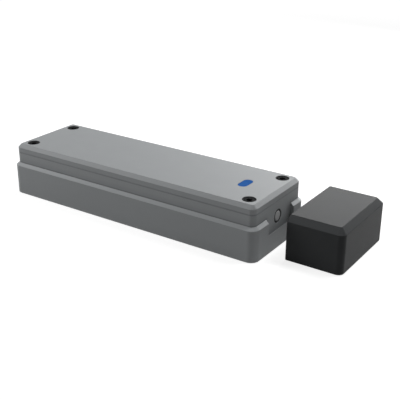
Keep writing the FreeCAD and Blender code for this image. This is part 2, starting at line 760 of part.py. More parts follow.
def make_circuit_board():
    body = new_body("circuit_board")
    outline = new_sketch(body, "board_outline", height=board_height)
    tip = hollow_x - tongue_gap
    points = [
        (board_start, -board_edge), (board_right, -board_edge), (board_right, -tongue_edge),
        (tip, -tongue_edge), (tip, tongue_edge), (board_right, tongue_edge),
        (board_right, board_edge), (board_start, board_edge),
    ]
    polygon(outline, points)
    pad(body, outline, board_thickness, "board_plate")
    holes = new_sketch(body, "board_hole_outlines", height=board_top)
    for x, y in standoff_axes():
        circle(holes, x, y, board_screw + 2 * board_screw_gap)
    pocket(body, holes, board_thickness, "board_holes")
    return body


def make_board_screws():
    top = board_top + board_screw_rise
    bottom = board_top - board_screw_length
    profile = [
        (0, bottom), (board_screw / 2, bottom), (board_screw / 2, board_top),
        (board_screw_head / 2, board_top), (board_screw_head / 2, top), (0, top),
    ]
    screws = []
    for number, (x, y) in enumerate(standoff_axes(), start=1):
        screw = turned("board_screw_" + str(number), profile, True)
        place(screw, x, y, 0)
        screws.append(screw)
    return group("board_screws", screws)


# The two cells lie side by side in a tray that pegs on the case's floor locate.
def make_battery_tray():
    body = new_body("battery_tray")
    low = new_sketch(body, "tray_outline", height=case_floor)
    outer_y = tray_inner_y + tray_wall
    left, right = -tray_middle - tray_outer_x, tray_right
    rounded_rectangle(low, left, right, -outer_y, outer_y, [tray_wall] * 4)
    pad(body, low, tray_floor + tray_end_height, "tray_block")
    inside = new_sketch(body, "tray_inside", height=case_floor + tray_floor + tray_end_height)
    inner_left, inner_right = -tray_middle - tray_inner_x, -tray_middle + tray_inner_x
    polygon(inside, [(inner_left, -tray_inner_y), (inner_right, -tray_inner_y),
                     (inner_right, tray_inner_y), (inner_left, tray_inner_y)])
    pocket(body, inside, tray_end_height, "tray_hollow")
    sides = new_sketch(body, "tray_side_outline", "XZ_Plane", outer_y + tray_wall)
    dip = case_floor + tray_floor + tray_side_height
    top = case_floor + tray_floor + tray_end_height + tray_wall
    dip_left, dip_right = inner_left + tray_wall, inner_right - tray_wall
    polygon(sides, [(dip_left, dip), (dip_right, dip), (dip_right, top), (dip_left, top)])
    pocket(body, sides, 2 * (outer_y + tray_wall), "tray_sides")
    pegs = new_sketch(body, "tray_peg_holes", height=case_floor + tray_floor)
    for x, y in peg_axes():
        square(pegs, x, y, peg_side + 2 * peg_gap)
    pocket(body, pegs, tray_floor, "tray_peg_bores")
    return body


def make_cell(number, side):
    """A cell; the near one has its button towards the board and the far one away from it."""
    radius = cell_diameter / 2
    half = (cell_length + cell_button_rise) / 2
    end = half - cell_button_rise
    button = cell_button / 2
    profile = [(-half, 0), (-half, radius), (end, radius), (end, button), (half, button), (half, 0)]
    body = turned("battery_cell_" + str(number), profile, False)
    if side > 0:
        about = FreeCAD.Rotation(FreeCAD.Vector(0, 0, 1), 180)
        body.Placement = FreeCAD.Placement(FreeCAD.Vector(0, 0, 0), about)
    place(body, -tray_middle, side * cell_side, cell_axis)
    return body


# A contact is a plate against the tray's end wall with a bent leaf that reaches the cell. At the
# board's end each cell has its own, with a solder tab over the wall, and a bridge joins the others.
contact_top = case_floor + tray_floor + tray_end_height


def make_contact(label, end, sides):
    """Plates and leaves for the cells at one end of the tray, end being -1 or 1 along X."""
    body = new_body(label)
    face = end * tray_inner_x - tray_middle
    inner = face - end * contact_thickness
    reach = end * (cell_length + cell_button_rise) / 2 - tray_middle
    low = case_floor + tray_floor
    plate = new_sketch(body, label + "_plate_outline", "YZ_Plane", face)
    if len(sides) == 2:
        far = cell_side + contact_width / 2
        polygon(plate, [(-far, low), (far, low), (far, contact_top), (-far, contact_top)])
    else:
        side = sides[0]
        edge = side * (cell_side + contact_width / 2)
        step = side * (cell_side - contact_width / 2)
        tab_edge = side * (lead_pitch / 2 - tab_length / 2)
        shoulder = contact_top - tab_length
        top = contact_top + contact_thickness
        polygon(plate, [(edge, low), (edge, contact_top), (step, contact_top), (step, top), (tab_edge, top),
                        (tab_edge, shoulder), (step, shoulder), (step, low)])
    pad(body, plate, contact_thickness, label + "_plate", backward=end > 0)
    for side in sides:
        name = label + ("_near" if side < 0 else "_far")
        middle = side * cell_side
        leaf = new_sketch(body, name + "_leaf_outline", "XZ_Plane", leaf_width / 2 - middle)
        back = reach + end * contact_thickness
        foot = leaf_spread - contact_thickness
        polygon(leaf, [(inner, cell_axis + leaf_spread), (reach, cell_axis + leaf_touch),
                       (reach, cell_axis - leaf_touch), (inner, cell_axis - leaf_spread),
                       (inner, cell_axis - foot), (back, cell_axis), (inner, cell_axis + foot)])
        pad(body, leaf, leaf_width, name + "_leaf", backward=True)
    if len(sides) == 1:
        tab = new_sketch(body, label + "_tab_outline", height=contact_top)
        outer = face + end * tray_wall
        far = sides[0] * (lead_pitch / 2 + tab_length / 2)
        polygon(tab, [(inner, tab_edge), (outer, tab_edge), (outer, far), (inner, far)])
        pad(body, tab, contact_thickness, label + "_tab")
    return body


def make_lead(label, y):
    """A lead that rises from its tab, turns over in a half circle and drops into the plug."""
    start_x = -tray_middle + tray_inner_x + tray_wall / 2
    end_x = board_start + header_start
    low = contact_top + contact_thickness
    body = new_body(label)
    path = new_sketch(body, label + "_path", "XZ_Plane")
    bend = low + lead_rise
    middle = (start_x + end_x) / 2
    radius = (end_x - start_x) / 2
    up = FreeCAD.Vector(0, 0, 1)
    corners = [FreeCAD.Vector(start_x.value, low.value, 0), FreeCAD.Vector(start_x.value, bend.value, 0),
               FreeCAD.Vector(end_x.value, bend.value, 0), FreeCAD.Vector(end_x.value, low.value, 0)]
    path.addGeometry(Part.LineSegment(corners[0], corners[1]), False)
    arch = Part.Circle(FreeCAD.Vector(middle.value, bend.value, 0), up, radius.value)
    path.addGeometry(Part.ArcOfCircle(arch, 0, math.pi), False)
    path.addGeometry(Part.LineSegment(corners[2], corners[3]), False)
    path.addConstraint(Sketcher.Constraint("Tangent", 0, 2, 1, 2))
    path.addConstraint(Sketcher.Constraint("Tangent", 1, 1, 2, 1))
    fix(path, "DistanceX", 0, 1, start_x)
    fix(path, "DistanceY", 0, 1, low)
    fix(path, "DistanceX", 2, 2, end_x)
    fix(path, "DistanceY", 2, 2, low)
    fix(path, "DistanceY", 0, 2, bend)
    path.addConstraint(Sketcher.Constraint("Vertical", 0))
    section = new_sketch(body, label + "_section", "XY_Plane", low)
    hexagon(section, start_x, 0, lead_diameter)
    doc.recompute()
    pipe = body.newObject("PartDesign::AdditivePipe", label + "_pipe")
    pipe.Profile = section
    pipe.Spine = path
    doc.recompute()
    place(body, 0, y, 0)
    return body


def make_header():
    x = board_start + header_start
    return labelled(block("battery_header", x, 0, header_length, header_width,
                          board_top, board_top + header_height))


def make_plug():
    x = board_start + header_start
    low = board_top + header_height
    return labelled(block("lead_plug", x, 0, header_length - 2 * plug_edge,
                          header_width - 2 * plug_edge, low, contact_top + contact_thickness))


def labelled(item):
    item.Label = item.Name
    return item


def make_radio_module():
    x = board_right - module_middle
    return labelled(block("radio_module", x, 0, module_length, module_width,
                          board_top, board_top + module_thickness))


def make_radio_shield():
    body = new_body("radio_shield")
    outline = new_sketch(body, "shield_outline", height=board_top + module_thickness)
    x = board_right - module_middle
    rounded_rectangle(outline, x - shield_length / 2, x + shield_length / 2,
                      -shield_width / 2, shield_width / 2, [shield_corner] * 4)
    pad(body, outline, shield_height, "shield_can")
    return body


# The aerial is bent sheet: a flat top with a ground leg over its full width and a narrow feed leg.
def make_aerial():
    x = board_right - module_middle
    top = board_top + aerial_height
    left = x - aerial_length / 2
    near = aerial_inset - board_edge
    far = near + aerial_width
    feed = left + aerial_feed
    pieces = [
        box("aerial_top", left, left + aerial_length, near, far, top - aerial_thickness, top),
        box("aerial_ground", left, left + aerial_thickness, near, far, board_top, top),
        box("aerial_feed", feed, feed + aerial_leg, near, near + aerial_thickness, board_top, top),
        box("aerial_foot", left + aerial_length - aerial_leg, left + aerial_length,
            near, near + aerial_thickness, board_top, top),
    ]
    return fused("aerial", pieces)


def make_controller_chip():
    x = board_start + chip_middle
    return labelled(block("controller_chip", x, board_edge - chip_inset, chip_side, chip_side,
                          board_top, board_top + chip_height))


def make_hold_up_capacitor():
    x = board_start + store_middle
    return labelled(rod("hold_up_capacitor", x, board_edge - store_inset, store_diameter,
                        board_top, board_top + store_height))


def make_reed_glass():
    radius = reed_diameter / 2
    half = reed_length / 2
    profile = [(-half, 0), (-half, radius), (half, radius), (half, 0)]
    body = turned("reed_glass", profile, False)
    turn = FreeCAD.Rotation(FreeCAD.Vector(0, 0, 1), 90)
    body.Placement = FreeCAD.Placement(FreeCAD.Vector(0, 0, 0), turn)
    place(body, board_right - reed_inset, reed_y, board_top + reed_rise + radius)
    return body


def make_reed_wires():
    x = board_right - reed_inset
    axis = board_top + reed_rise + reed_diameter / 2
    half = reed_length / 2
    wires = []
    for sign, name in ((-1, "near"), (1, "far")):
        inner = reed_y + sign * half
        outer = reed_y + sign * (half + reed_wire_reach)
        near, far = (outer, inner) if sign < 0 else (inner, outer)
        level = box("reed_wire_" + name + "_level", x - reed_wire / 2, x + reed_wire / 2, near, far,
                    axis - reed_wire / 2, axis + reed_wire / 2)
        leg_inner = outer - sign * reed_wire
        near, far = (outer, leg_inner) if sign < 0 else (leg_inner, outer)
        leg = box("reed_wire_" + name + "_leg", x - reed_wire / 2, x + reed_wire / 2, near, far,
                  board_top, axis + reed_wire / 2)
        wires.append(fused("reed_wire_" + name, [level, leg]))
    return group("reed_wires", wires)


def make_status_lamp():
    return labelled(block("status_lamp", window_x, 0, lamp_width, lamp_length,
                          board_top, board_top + lamp_height))


# The button's row along X: face, collar, stem, plunger and the switch behind it.
collar_face = hollow_x - flange_thickness - button_gap
stem_face = collar_face - collar_thickness
plunger_face = stem_face - stem_length
switch_face = plunger_face - (button_travel + plunger_gap)


def make_button_cap():
    face = button_diameter / 2
    profile = [
        (plunger_face, 0), (plunger_face, stem_diameter / 2), (stem_face, stem_diameter / 2),
        (stem_face, collar_diameter / 2), (collar_face, collar_diameter / 2), (collar_face, face),
        (wall_face - button_edge, face), (wall_face, face - button_edge), (wall_face, 0),
    ]
    body = turned("button_cap", profile, False)
    place(body, 0, 0, button_height)
    return body


def make_button_seal():
    inner = button_diameter / 2 + button_gap
    flange = hollow_x - flange_thickness
    profile = [
        (flange, inner), (flange, flange_diameter / 2), (hollow_x, flange_diameter / 2),
        (hollow_x, button_hole / 2), (wall_face - seal_recess, button_hole / 2),
        (wall_face - seal_recess, inner),
    ]
    body = turned("button_seal", profile, False)
    place(body, 0, 0, button_height)
    return body


def make_switch_plunger():
    radius = plunger_diameter / 2
    back = switch_face - plunger_depth
    profile = [(back, 0), (back, radius), (plunger_face, radius), (plunger_face, 0)]
    body = turned("switch_plunger", profile, False)
    place(body, 0, 0, button_height)
    return body


def make_press_switch():
    body = new_body("press_switch")
    outline = new_sketch(body, "switch_outline", height=board_top)
    left = switch_face - switch_length
    half = switch_width / 2
    polygon(outline, [(left, -half), (switch_face, -half), (switch_face, half), (left, half)])
    pad(body, outline, switch_height, "switch_block")
    bore = new_sketch(body, "plunger_bore", "YZ_Plane", switch_face)
    circle(bore, 0, button_height, plunger_diameter + 2 * plunger_gap)
    pocket(body, bore, plunger_depth + button_travel + plunger_room, "plunger_pocket")
    return body


# The magnet block is a moulded cap over a bar magnet. A plate closes it from below.
def make_magnet_housing():
    body = new_body("magnet_housing")
    half = block_length / 2
    half_width = block_width / 2
    corners = [block_corner, block_corner, block_corner_case, block_corner_case]
    foot = new_sketch(body, "block_outline_low")
    rounded_rectangle(foot, -half, half, -half_width, half_width, corners)
    shoulder = block_height - block_slope
    pad(body, foot, shoulder, "block_sides")
    start = new_sketch(body, "slope_start", height=shoulder)
    rounded_rectangle(start, -half, half, -half_width, half_width, corners)
    end = new_sketch(body, "slope_end", height=block_height)
    top_corners = [block_corner_top] * 4
    rounded_rectangle(end, -half + block_slope_case, half - block_slope,
                      -half_width + block_slope, half_width - block_slope, top_corners)
    loft = body.newObject("PartDesign::AdditiveLoft", "block_slopes")
    loft.Profile = start
    loft.Sections = [end]
    loft.Ruled = True
    doc.recompute()

    hollow = new_sketch(body, "block_hollow_outline")
    inner_x, inner_y = half - block_wall, half_width - block_wall
    polygon(hollow, [(-inner_x, -inner_y), (inner_x, -inner_y), (inner_x, inner_y), (-inner_x, inner_y)])
    pocket(body, hollow, block_height - block_roof, "block_hollow", forward=True)

    ribs = new_sketch(body, "block_rib_outlines", height=magnet_top)
    for sign in (-1, 1):
        middle = sign * saddle_reach
        across = half - block_wall / 2
        polygon(ribs, [(-across, middle - saddle_width / 2), (across, middle - saddle_width / 2),
                       (across, middle + saddle_width / 2), (-across, middle + saddle_width / 2)])
    pad(body, ribs, block_height - block_roof / 2 - magnet_top, "block_ribs")
    place(body, block_middle, block_offset, 0)
    return body


def make_magnet_plate():
    body = new_body("magnet_plate")
    half = block_length / 2 - block_wall - plate_gap
    half_width = block_width / 2 - block_wall - plate_gap
    plate = new_sketch(body, "plate_outline")
    polygon(plate, [(-half, -half_width), (half, -half_width), (half, half_width), (-half, half_width)])
    pad(body, plate, tape_thickness + plate_thickness, "plate_block")
    recess = new_sketch(body, "plate_tape_outline")
    rounded_rectangle(recess, -half + block_tape_edge, half - block_tape_edge,
                      -half_width + block_tape_edge, half_width - block_tape_edge, [tape_corner] * 4)
    pocket(body, recess, tape_thickness, "plate_tape_recess", forward=True)
    saddles = new_sketch(body, "saddle_outlines", height=tape_thickness + plate_thickness / 2)
    rise = magnet_rise + plate_thickness / 2
    side = magnet_width / 2 + saddle_gap
    for sign in (-1, 1):
        middle = sign * saddle_reach
        across = side + saddle_width
        polygon(saddles, [(-across, middle - saddle_width / 2), (across, middle - saddle_width / 2),
                          (across, middle + saddle_width / 2), (-across, middle + saddle_width / 2)])
    pad(body, saddles, rise, "saddles")
    lips = new_sketch(body, "saddle_lip_outlines", height=tape_thickness + plate_thickness)
    for sign_x in (-1, 1):
        for sign_y in (-1, 1):
            middle = sign_y * saddle_reach
            inner, outer = sign_x * side, sign_x * (side + saddle_width)
            left, right = (inner, outer) if sign_x > 0 else (outer, inner)
            polygon(lips, [(left, middle - saddle_width / 2), (right, middle - saddle_width / 2),
                           (right, middle + saddle_width / 2), (left, middle + saddle_width / 2)])
    pad(body, lips, magnet_rise + saddle_lip, "saddle_lips")
    place(body, block_middle, block_offset, 0)
    return body


def make_bar_magnet():
    return labelled(block("bar_magnet", block_middle, block_offset, magnet_width, magnet_length,
                          magnet_low, magnet_top))


def make_magnet_tape():
    body = new_body("magnet_tape")
    inset = block_wall + plate_gap + block_tape_edge + tape_gap
    outline = new_sketch(body, "magnet_tape_outline")
    centred_rectangle(outline, block_length - 2 * inset, block_width - 2 * inset, tape_corner - tape_gap)
    pad(body, outline, tape_thickness, "magnet_tape_pad")
    place(body, block_middle, block_offset, 0)
    return body


pieces = [make_base_case(), make_threaded_inserts(), make_gasket(), make_mounting_tape()]
pieces += [make_circuit_board(), make_board_screws(), make_battery_tray()]
pieces += [make_cell(1, -1), make_cell(2, 1)]
pieces += [make_contact("positive_contact", 1, [-1]), make_contact("negative_contact", 1, [1])]
pieces += [make_contact("contact_bridge", -1, [-1, 1])]
pieces += [make_lead("lead_red", -lead_pitch / 2), make_lead("lead_black", lead_pitch / 2)]
pieces += [make_header(), make_plug()]
pieces += [make_radio_module(), make_radio_shield(), make_aerial(), make_controller_chip()]
pieces += [make_hold_up_capacitor(), make_reed_glass(), make_reed_wires(), make_status_lamp()]
pieces += [make_press_switch(), make_button_seal(), make_button_cap(), make_switch_plunger()]
pieces += [make_lid(), make_light_pipe()]
for screw_number, (axis_x, axis_y) in enumerate(screw_axes(), start=1):
    pieces.append(make_lid_screw(screw_number, axis_x, axis_y))
pieces += [make_magnet_housing(), make_magnet_plate(), make_bar_magnet(), make_magnet_tape()]

doc.recompute()
for item in doc.Objects:
    faults = [state for state in item.State if state in ("Invalid", "Error")]
    if faults:
        raise ValueError(item.Label + " failed: " + ", ".join(faults))
for piece in pieces:
    if piece.Shape.isNull() or not piece.Shape.isValid() or not piece.Shape.Solids:
        raise ValueError(piece.Label + " has no valid solid")

os.makedirs("parts", exist_ok=True)
for piece in pieces:
    piece.Shape.exportStep(os.path.join("parts", piece.Label + ".step"))
    print(piece.Label, len(piece.Shape.Solids), "solid(s), volume", round(piece.Shape.Volume, 2))
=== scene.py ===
"""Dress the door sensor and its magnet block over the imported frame, and set up the studio shot.

Lengths are in millimetres unless a text says metres, and angles in degrees. Objects and nodes get metres.
"""

import logging
import math
from dataclasses import dataclass
from enum import Enum, StrEnum
from functools import partialmethod

import bmesh
import bpy
from mathutils import Matrix, Vector


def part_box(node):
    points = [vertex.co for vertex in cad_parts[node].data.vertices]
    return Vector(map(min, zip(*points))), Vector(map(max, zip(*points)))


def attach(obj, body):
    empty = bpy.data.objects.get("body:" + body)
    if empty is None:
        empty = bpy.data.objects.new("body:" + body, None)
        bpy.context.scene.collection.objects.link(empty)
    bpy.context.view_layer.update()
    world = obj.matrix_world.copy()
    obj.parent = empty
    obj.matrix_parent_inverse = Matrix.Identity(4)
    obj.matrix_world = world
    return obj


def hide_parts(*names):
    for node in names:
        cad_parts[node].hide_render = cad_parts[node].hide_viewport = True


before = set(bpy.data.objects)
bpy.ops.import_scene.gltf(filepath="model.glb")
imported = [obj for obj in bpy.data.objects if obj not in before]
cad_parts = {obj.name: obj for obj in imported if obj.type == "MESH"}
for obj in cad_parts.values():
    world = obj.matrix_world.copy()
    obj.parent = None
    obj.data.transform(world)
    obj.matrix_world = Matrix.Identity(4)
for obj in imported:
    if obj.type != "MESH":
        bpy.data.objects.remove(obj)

log = logging.getLogger("door_sensor")
MM = 0.001
THREAD_PITCH = 0.5
HARD_EDGE = math.radians(30)
FLAT_EDGE = math.radians(0.8)
SAME_PLACE = 2e-6
Pair = tuple[float, float]
Point = tuple[float, float, float]
Colour = tuple[float, float, float]
Ring = list[Point]
Profile = list[Pair]
Span = tuple[Pair, Pair, Pair]
Move = tuple[Point, Point, Point]
Mesh = bmesh.types.BMesh
Item = bpy.types.Object
Socket = bpy.types.NodeSocket


class Body(StrEnum):
    """The rigid bodies that pieces ride on."""

    BASE = "sensor_base"
    LID = "lid_unit"
    BUTTON = "button"
    MAGNET = "magnet_unit"


class Axis(Enum):
    """The line that a piece is turned or drawn along, as its place in a vector."""

    X = 0
    Y = 1
    Z = 2

    def turned(self, point: Point) -> Point:
        """A point drawn about Z, turned so that it lies about this axis."""
        return tuple(point[(place - self.value - 1) % 3] for place in range(3))


# -------- node trees


@dataclass
class Graph:
    """A node tree that is built node by node."""

    tree: bpy.types.NodeTree

    def feed(self, socket: Socket, value: object) -> None:
        """Link an output to an input, or set the input to a number, colour or vector.

        Args:
            socket: the input.
            value: a Value, an output, or what the input is set to.
        """
        if isinstance(value, Value):
            value = value.socket
        if isinstance(value, bpy.types.NodeSocket):
            self.tree.links.new(value, socket)
        elif socket.type == "RGBA":
            socket.default_value = (*value, 1.0)
        else:
            socket.default_value = value

    def node(self, kind: str, settings: dict[str, object] | None = None, **inputs: object) -> bpy.types.Node:
        """Add a node and feed its inputs.

        Args:
            kind: the node's type name.
            settings: its properties by name.
            inputs: its inputs by name, underscores standing for spaces.

        Returns:
            The new node.
        """
        made = self.tree.nodes.new(kind)
        for key, value in (settings or {}).items():
            setattr(made, key, value)
        for key, value in inputs.items():
            self.feed(made.inputs[key.replace("_", " ")], value)
        return made

    def math(self, operation: str, *values: object) -> Socket:
        """Combine numbers or outputs.

        Args:
            operation: the Math node's operation.
            values: what it works on, in order.

        Returns:
            The result.
        """
        made = self.node("ShaderNodeMath", {"operation": operation})
        for socket, value in zip(made.inputs, values):
            self.feed(socket, value)
        return made.outputs[0]


@dataclass(frozen=True)
class Value:
    """A number that varies over a surface. Arithmetic on it adds nodes to its tree."""

    graph: Graph
    socket: Socket

    def math(self, operation: str, other: "Value | float" = 0.0) -> "Value":
        """Combine it with a number or another value."""
        return Value(self.graph, self.graph.math(operation, self, other))

    __add__ = partialmethod(math, "ADD")
    __sub__ = partialmethod(math, "SUBTRACT")
    __mul__ = partialmethod(math, "MULTIPLY")
    __abs__ = partialmethod(math, "ABSOLUTE")

    def above(self, level_mm: float) -> "Value":
        """1 above a level, else 0."""
        return self.math("GREATER_THAN", level_mm * MM)

    def below(self, level_mm: float) -> "Value":
        """1 below a level, else 0."""
        return self.math("LESS_THAN", level_mm * MM)

    def past(self, level_mm: float) -> "Value":
        """How far its size is over a level, or 0."""
        return (abs(self) - level_mm * MM).math("MAXIMUM")

    def length(self, other: "Value") -> "Value":
        """Length of the vector that it makes with another value."""
        return (self * self + other * other).math("SQRT")

    def ranged(self, low: float = 0.3, high: float = 0.7, to_low: float = 0.0, to_high: float = 1.0) -> "Value":
        """Map a range, at first the middle of a noise pattern, onto another, clamped.

        Args:
            low: where the input range starts.
            high: where it ends.
            to_low: result at low.
            to_high: result at high.

        Returns:
            The mapped value.
        """
        made = self.graph.node("ShaderNodeMapRange", Value=self, From_Min=low, From_Max=high, To_Min=to_low,
                               To_Max=to_high)
        return Value(self.graph, made.outputs["Result"])

    def fade(self, start_mm: float, stop_mm: float, strength: float = 1.0) -> "Value":
        """Full strength at start, nothing at stop."""
        ends = (strength, 0.0) if start_mm < stop_mm else (0.0, strength)
        return self.ranged(min(start_mm, stop_mm) * MM, max(start_mm, stop_mm) * MM, *ends)


class ShaderGraph(Graph):
    """The tree of one material, with patterns read from Object coordinates."""

    def __init__(self, name: str) -> None:
        """Start a material.

        Args:
            name: the material's name.
        """
        self.material = bpy.data.materials.new(name)
        self.material.use_nodes = True
        super().__init__(self.material.node_tree)
        self.shader = self.tree.nodes["Principled BSDF"]
        self.place = self.node("ShaderNodeTexCoord").outputs["Object"]

    def set(self, **values: object) -> None:
        """Feed the shader's own sockets, underscores standing for spaces."""
        for key, value in values.items():
            self.feed(self.shader.inputs[key.replace("_", " ")], value)

    def stretched(self, scale: Point) -> Socket:
        """Object coordinates with a factor on each axis."""
        return self.node("ShaderNodeMapping", Scale=scale, Vector=self.place).outputs["Vector"]

    def noise(self, size_mm: float, detail: float = 2.0, place: Socket | None = None) -> Value:
        """Smooth random pattern from 0 to 1.

        Args:
            size_mm: size of its features.
            detail: octaves of finer pattern.
            place: the vector to read, or None for Object coordinates.

        Returns:
            The pattern.
        """
        made = self.node("ShaderNodeTexNoise", Scale=1.0 / (size_mm * MM), Detail=detail, Vector=place or self.place)
        return Value(self, made.outputs["Fac"])

    def cells(self, size_mm: float) -> Value:
        """Distance to the nearest of random points, as in foam or sintered grain."""
        made = self.node("ShaderNodeTexVoronoi", Scale=1.0 / (size_mm * MM), Vector=self.place)
        return Value(self, made.outputs["Distance"])

    def axis(self, name: str) -> Value:
        """One of the Object coordinates, X, Y or Z, in metres."""
        return Value(self, self.node("ShaderNodeSeparateXYZ", Vector=self.place).outputs[name])

    def blended(self, factor: Value, low: object, high: object) -> Socket:
        """Mix two colours.

        Args:
            factor: 0 gives low and 1 gives high.
            low: a colour, or an output that gives one.
            high: a colour, or an output that gives one.

        Returns:
            The mixed colour.
        """
        made = self.node("ShaderNodeMix", {"data_type": "RGBA"}, Factor=factor)
        self.feed(made.inputs[6], low)
        self.feed(made.inputs[7], high)
        return made.outputs[2]

    def relief(self, height: Value, depth_mm: float) -> None:
        """Bend the shading by a height pattern."""
        bump = self.node("ShaderNodeBump", Distance=depth_mm * MM, Strength=1.0, Height=height)
        self.set(Normal=bump.outputs["Normal"])


# -------- finishes


def scaled(colour: Colour, factor: float) -> Colour:
    """A colour made lighter or darker."""
    return tuple(min(1.0, channel * factor) for channel in colour)


@dataclass(frozen=True)
class Finish:
    """A plain moulded or coated surface: fine grain, slight mottling and uneven gloss."""

    name: str
    slot: str
    colour: Colour
    roughness: float = 0.5
    metallic: float = 0.0
    specular: float = 0.5
    coat: float = 0.0
    sheen: float = 0.0
    transmission: float = 0.0
    mottle: float = 0.04
    patch_mm: float = 9.0
    patch_detail: float = 3.0
    grain_mm: float = 0.3
    grain_detail: float = 3.0
    grain_depth_mm: float = 0.01
    gloss_spread: float = 0.06

    def shades(self, pattern: Value, low: float, high: float) -> Socket:
        """The colour, made lighter or darker between two factors by a pattern."""
        return pattern.graph.blended(pattern, scaled(self.colour, low), scaled(self.colour, high))

    def grain(self, graph: ShaderGraph) -> Value:
        """The fine pattern that the gloss and the relief follow."""
        return graph.noise(self.grain_mm, self.grain_detail)

    def tone(self, graph: ShaderGraph, grain: Value) -> Socket:
        """The colour, mottled in wide patches."""
        patches = graph.noise(self.patch_mm, self.patch_detail).ranged()
        return self.shades(patches, 1 - self.mottle, 1 + self.mottle)

    def gloss(self, grain: Value) -> Value:
        """The roughness, spread to both sides by the grain."""
        return grain.ranged(to_low=self.roughness - self.gloss_spread, to_high=self.roughness + self.gloss_spread)

    def material(self) -> bpy.types.Material:
        """The finish as a material, made once.

        Returns:
            The material.
        """
        if self.name not in bpy.data.materials:
            graph = ShaderGraph(self.name)
            grain = self.grain(graph)
            graph.set(Base_Color=self.tone(graph, grain), Roughness=self.gloss(grain), Metallic=self.metallic,
                      Specular_IOR_Level=self.specular, Coat_Weight=self.coat, Sheen_Weight=self.sheen,
                      Transmission_Weight=self.transmission)
            if self.grain_depth_mm > 0:
                graph.relief(grain, self.grain_depth_mm)
        return bpy.data.materials[self.name]


@dataclass(frozen=True)
class DrawnMetal(Finish):
    """Sheet or wire with fine lines along its rolling direction, and a faint tarnish."""

    metallic: float = 1.0
    mottle: float = 0.05
    patch_mm: float = 6.0
    grain_detail: float = 4.0
    grain_depth_mm: float = 0.006
    along: Axis = Axis.X
    line_scale: float = 0.06

    def grain(self, graph: ShaderGraph) -> Value:
        """The lines."""
        scale = tuple(self.line_scale if axis is self.along else 1.0 for axis in Axis)
        return graph.noise(self.grain_mm, self.grain_detail, graph.stretched(scale))

    def tone(self, graph: ShaderGraph, grain: Value) -> Socket:
        """The tarnish."""
        return self.shades(graph.noise(self.patch_mm, self.patch_detail).ranged(0.35), 1, 1 - 3 * self.mottle)


@dataclass(frozen=True)
class FoamFinish(Finish):
    """Closed-cell foam with a film face: small cells with dark walls."""

    grain_mm: float = 0.6
    grain_depth_mm: float = 0.12
    gloss_spread: float = 0.0
    wall: float = 0.72

    def grain(self, graph: ShaderGraph) -> Value:
        """The cells."""
        return graph.cells(self.grain_mm).ranged(0.1, 0.6)

    def tone(self, graph: ShaderGraph, grain: Value) -> Socket:
        """The walls."""
        return self.shades(grain, self.wall, 1)


@dataclass(frozen=True)
class SinteredFinish(Finish):
    """Pressed and sintered magnet: dark crystalline grain with pale specks."""

    grain_mm: float = 0.35
    grain_depth_mm: float = 0.05
    speck_mm: float = 0.5
    speck: float = 1.8

    def grain(self, graph: ShaderGraph) -> Value:
        """The crystals."""
        return graph.cells(self.grain_mm)

    def tone(self, graph: ShaderGraph, grain: Value) -> Socket:
        """The specks."""
        return self.shades(graph.noise(self.speck_mm, 4.0).ranged(0.62), 1, self.speck)

    def gloss(self, grain: Value) -> Value:
        """Dull with brighter crystals."""
        return grain.ranged(0.0, 0.6, 0.45, 0.75)


@dataclass(frozen=True)
class SleeveFinish(Finish):
    """Plain heat-shrink sleeve of a cell: a green body with pale bands at one end and faint creases."""

    grain_mm: float = 1.6
    grain_depth_mm: float = 0.03
    gloss_spread: float = 0.08
    band: Colour = (0.62, 0.64, 0.63)
    bands_mm: tuple[Pair, ...] = ()

    def grain(self, graph: ShaderGraph) -> Value:
        """The creases, which run along the cell."""
        return graph.noise(self.grain_mm, self.grain_detail, graph.stretched((0.25, 1, 1)))

    def tone(self, graph: ShaderGraph, grain: Value) -> Socket:
        """The body and its bands.

        Args:
            graph: the material's tree.
            grain: the creases, which the colour leaves out.

        Returns:
            The colour.
        """
        along, tone = graph.axis("X"), self.colour
        for ends in self.bands_mm:
            tone = graph.blended(along.above(min(ends)) * along.below(max(ends)), tone, self.band)
        return tone


@dataclass(frozen=True)
class MaskFinish(Finish):
    """Solder mask over copper: tracks run under it, paler and raised, in patches of changing direction."""

    copper: Colour = (0.02, 0.16, 0.07)
    pitch_mm: float = 1.27
    patch_mm: float = 7.0
    grain_depth_mm: float = 0.035
    gloss_mm: float = 2.0
    track: Pair = (0.15, 0.21)
    turned: float = 0.5
    bare: float = 0.28

    def tracks(self, across: Value) -> Value:
        """Stripes at the tracks' pitch across one coordinate."""
        off = abs((across * (1 / (self.pitch_mm * MM))).math("FRACT") - 0.5)
        return off.ranged(*self.track, 1.0, 0.0)

    def grain(self, graph: ShaderGraph) -> Value:
        """The tracks.

        Args:
            graph: the material's tree.

        Returns:
            1 on a track, else 0.
        """
        patch = graph.node("ShaderNodeTexVoronoi", {"feature": "F1", "distance": "CHEBYCHEV"},
                           Scale=1 / (self.patch_mm * MM), Vector=graph.place)
        parts = graph.node("ShaderNodeSeparateColor", Color=patch.outputs["Color"])
        turn, there = (graph.math("GREATER_THAN", parts.outputs[name], share)
                       for name, share in (("Red", self.turned), ("Green", self.bare)))
        chosen = graph.node("ShaderNodeMix", {"data_type": "FLOAT"}, Factor=turn)
        graph.feed(chosen.inputs[2], self.tracks(graph.axis("Y")))
        graph.feed(chosen.inputs[3], self.tracks(graph.axis("X")))
        return Value(graph, chosen.outputs[0]) * there

    def tone(self, graph: ShaderGraph, grain: Value) -> Socket:
        """The mask and the copper under it."""
        return graph.blended(grain, self.colour, self.copper)

    def gloss(self, grain: Value) -> Value:
        """Uneven in patches that don't follow the tracks."""
        return super().gloss(grain.graph.noise(self.gloss_mm))


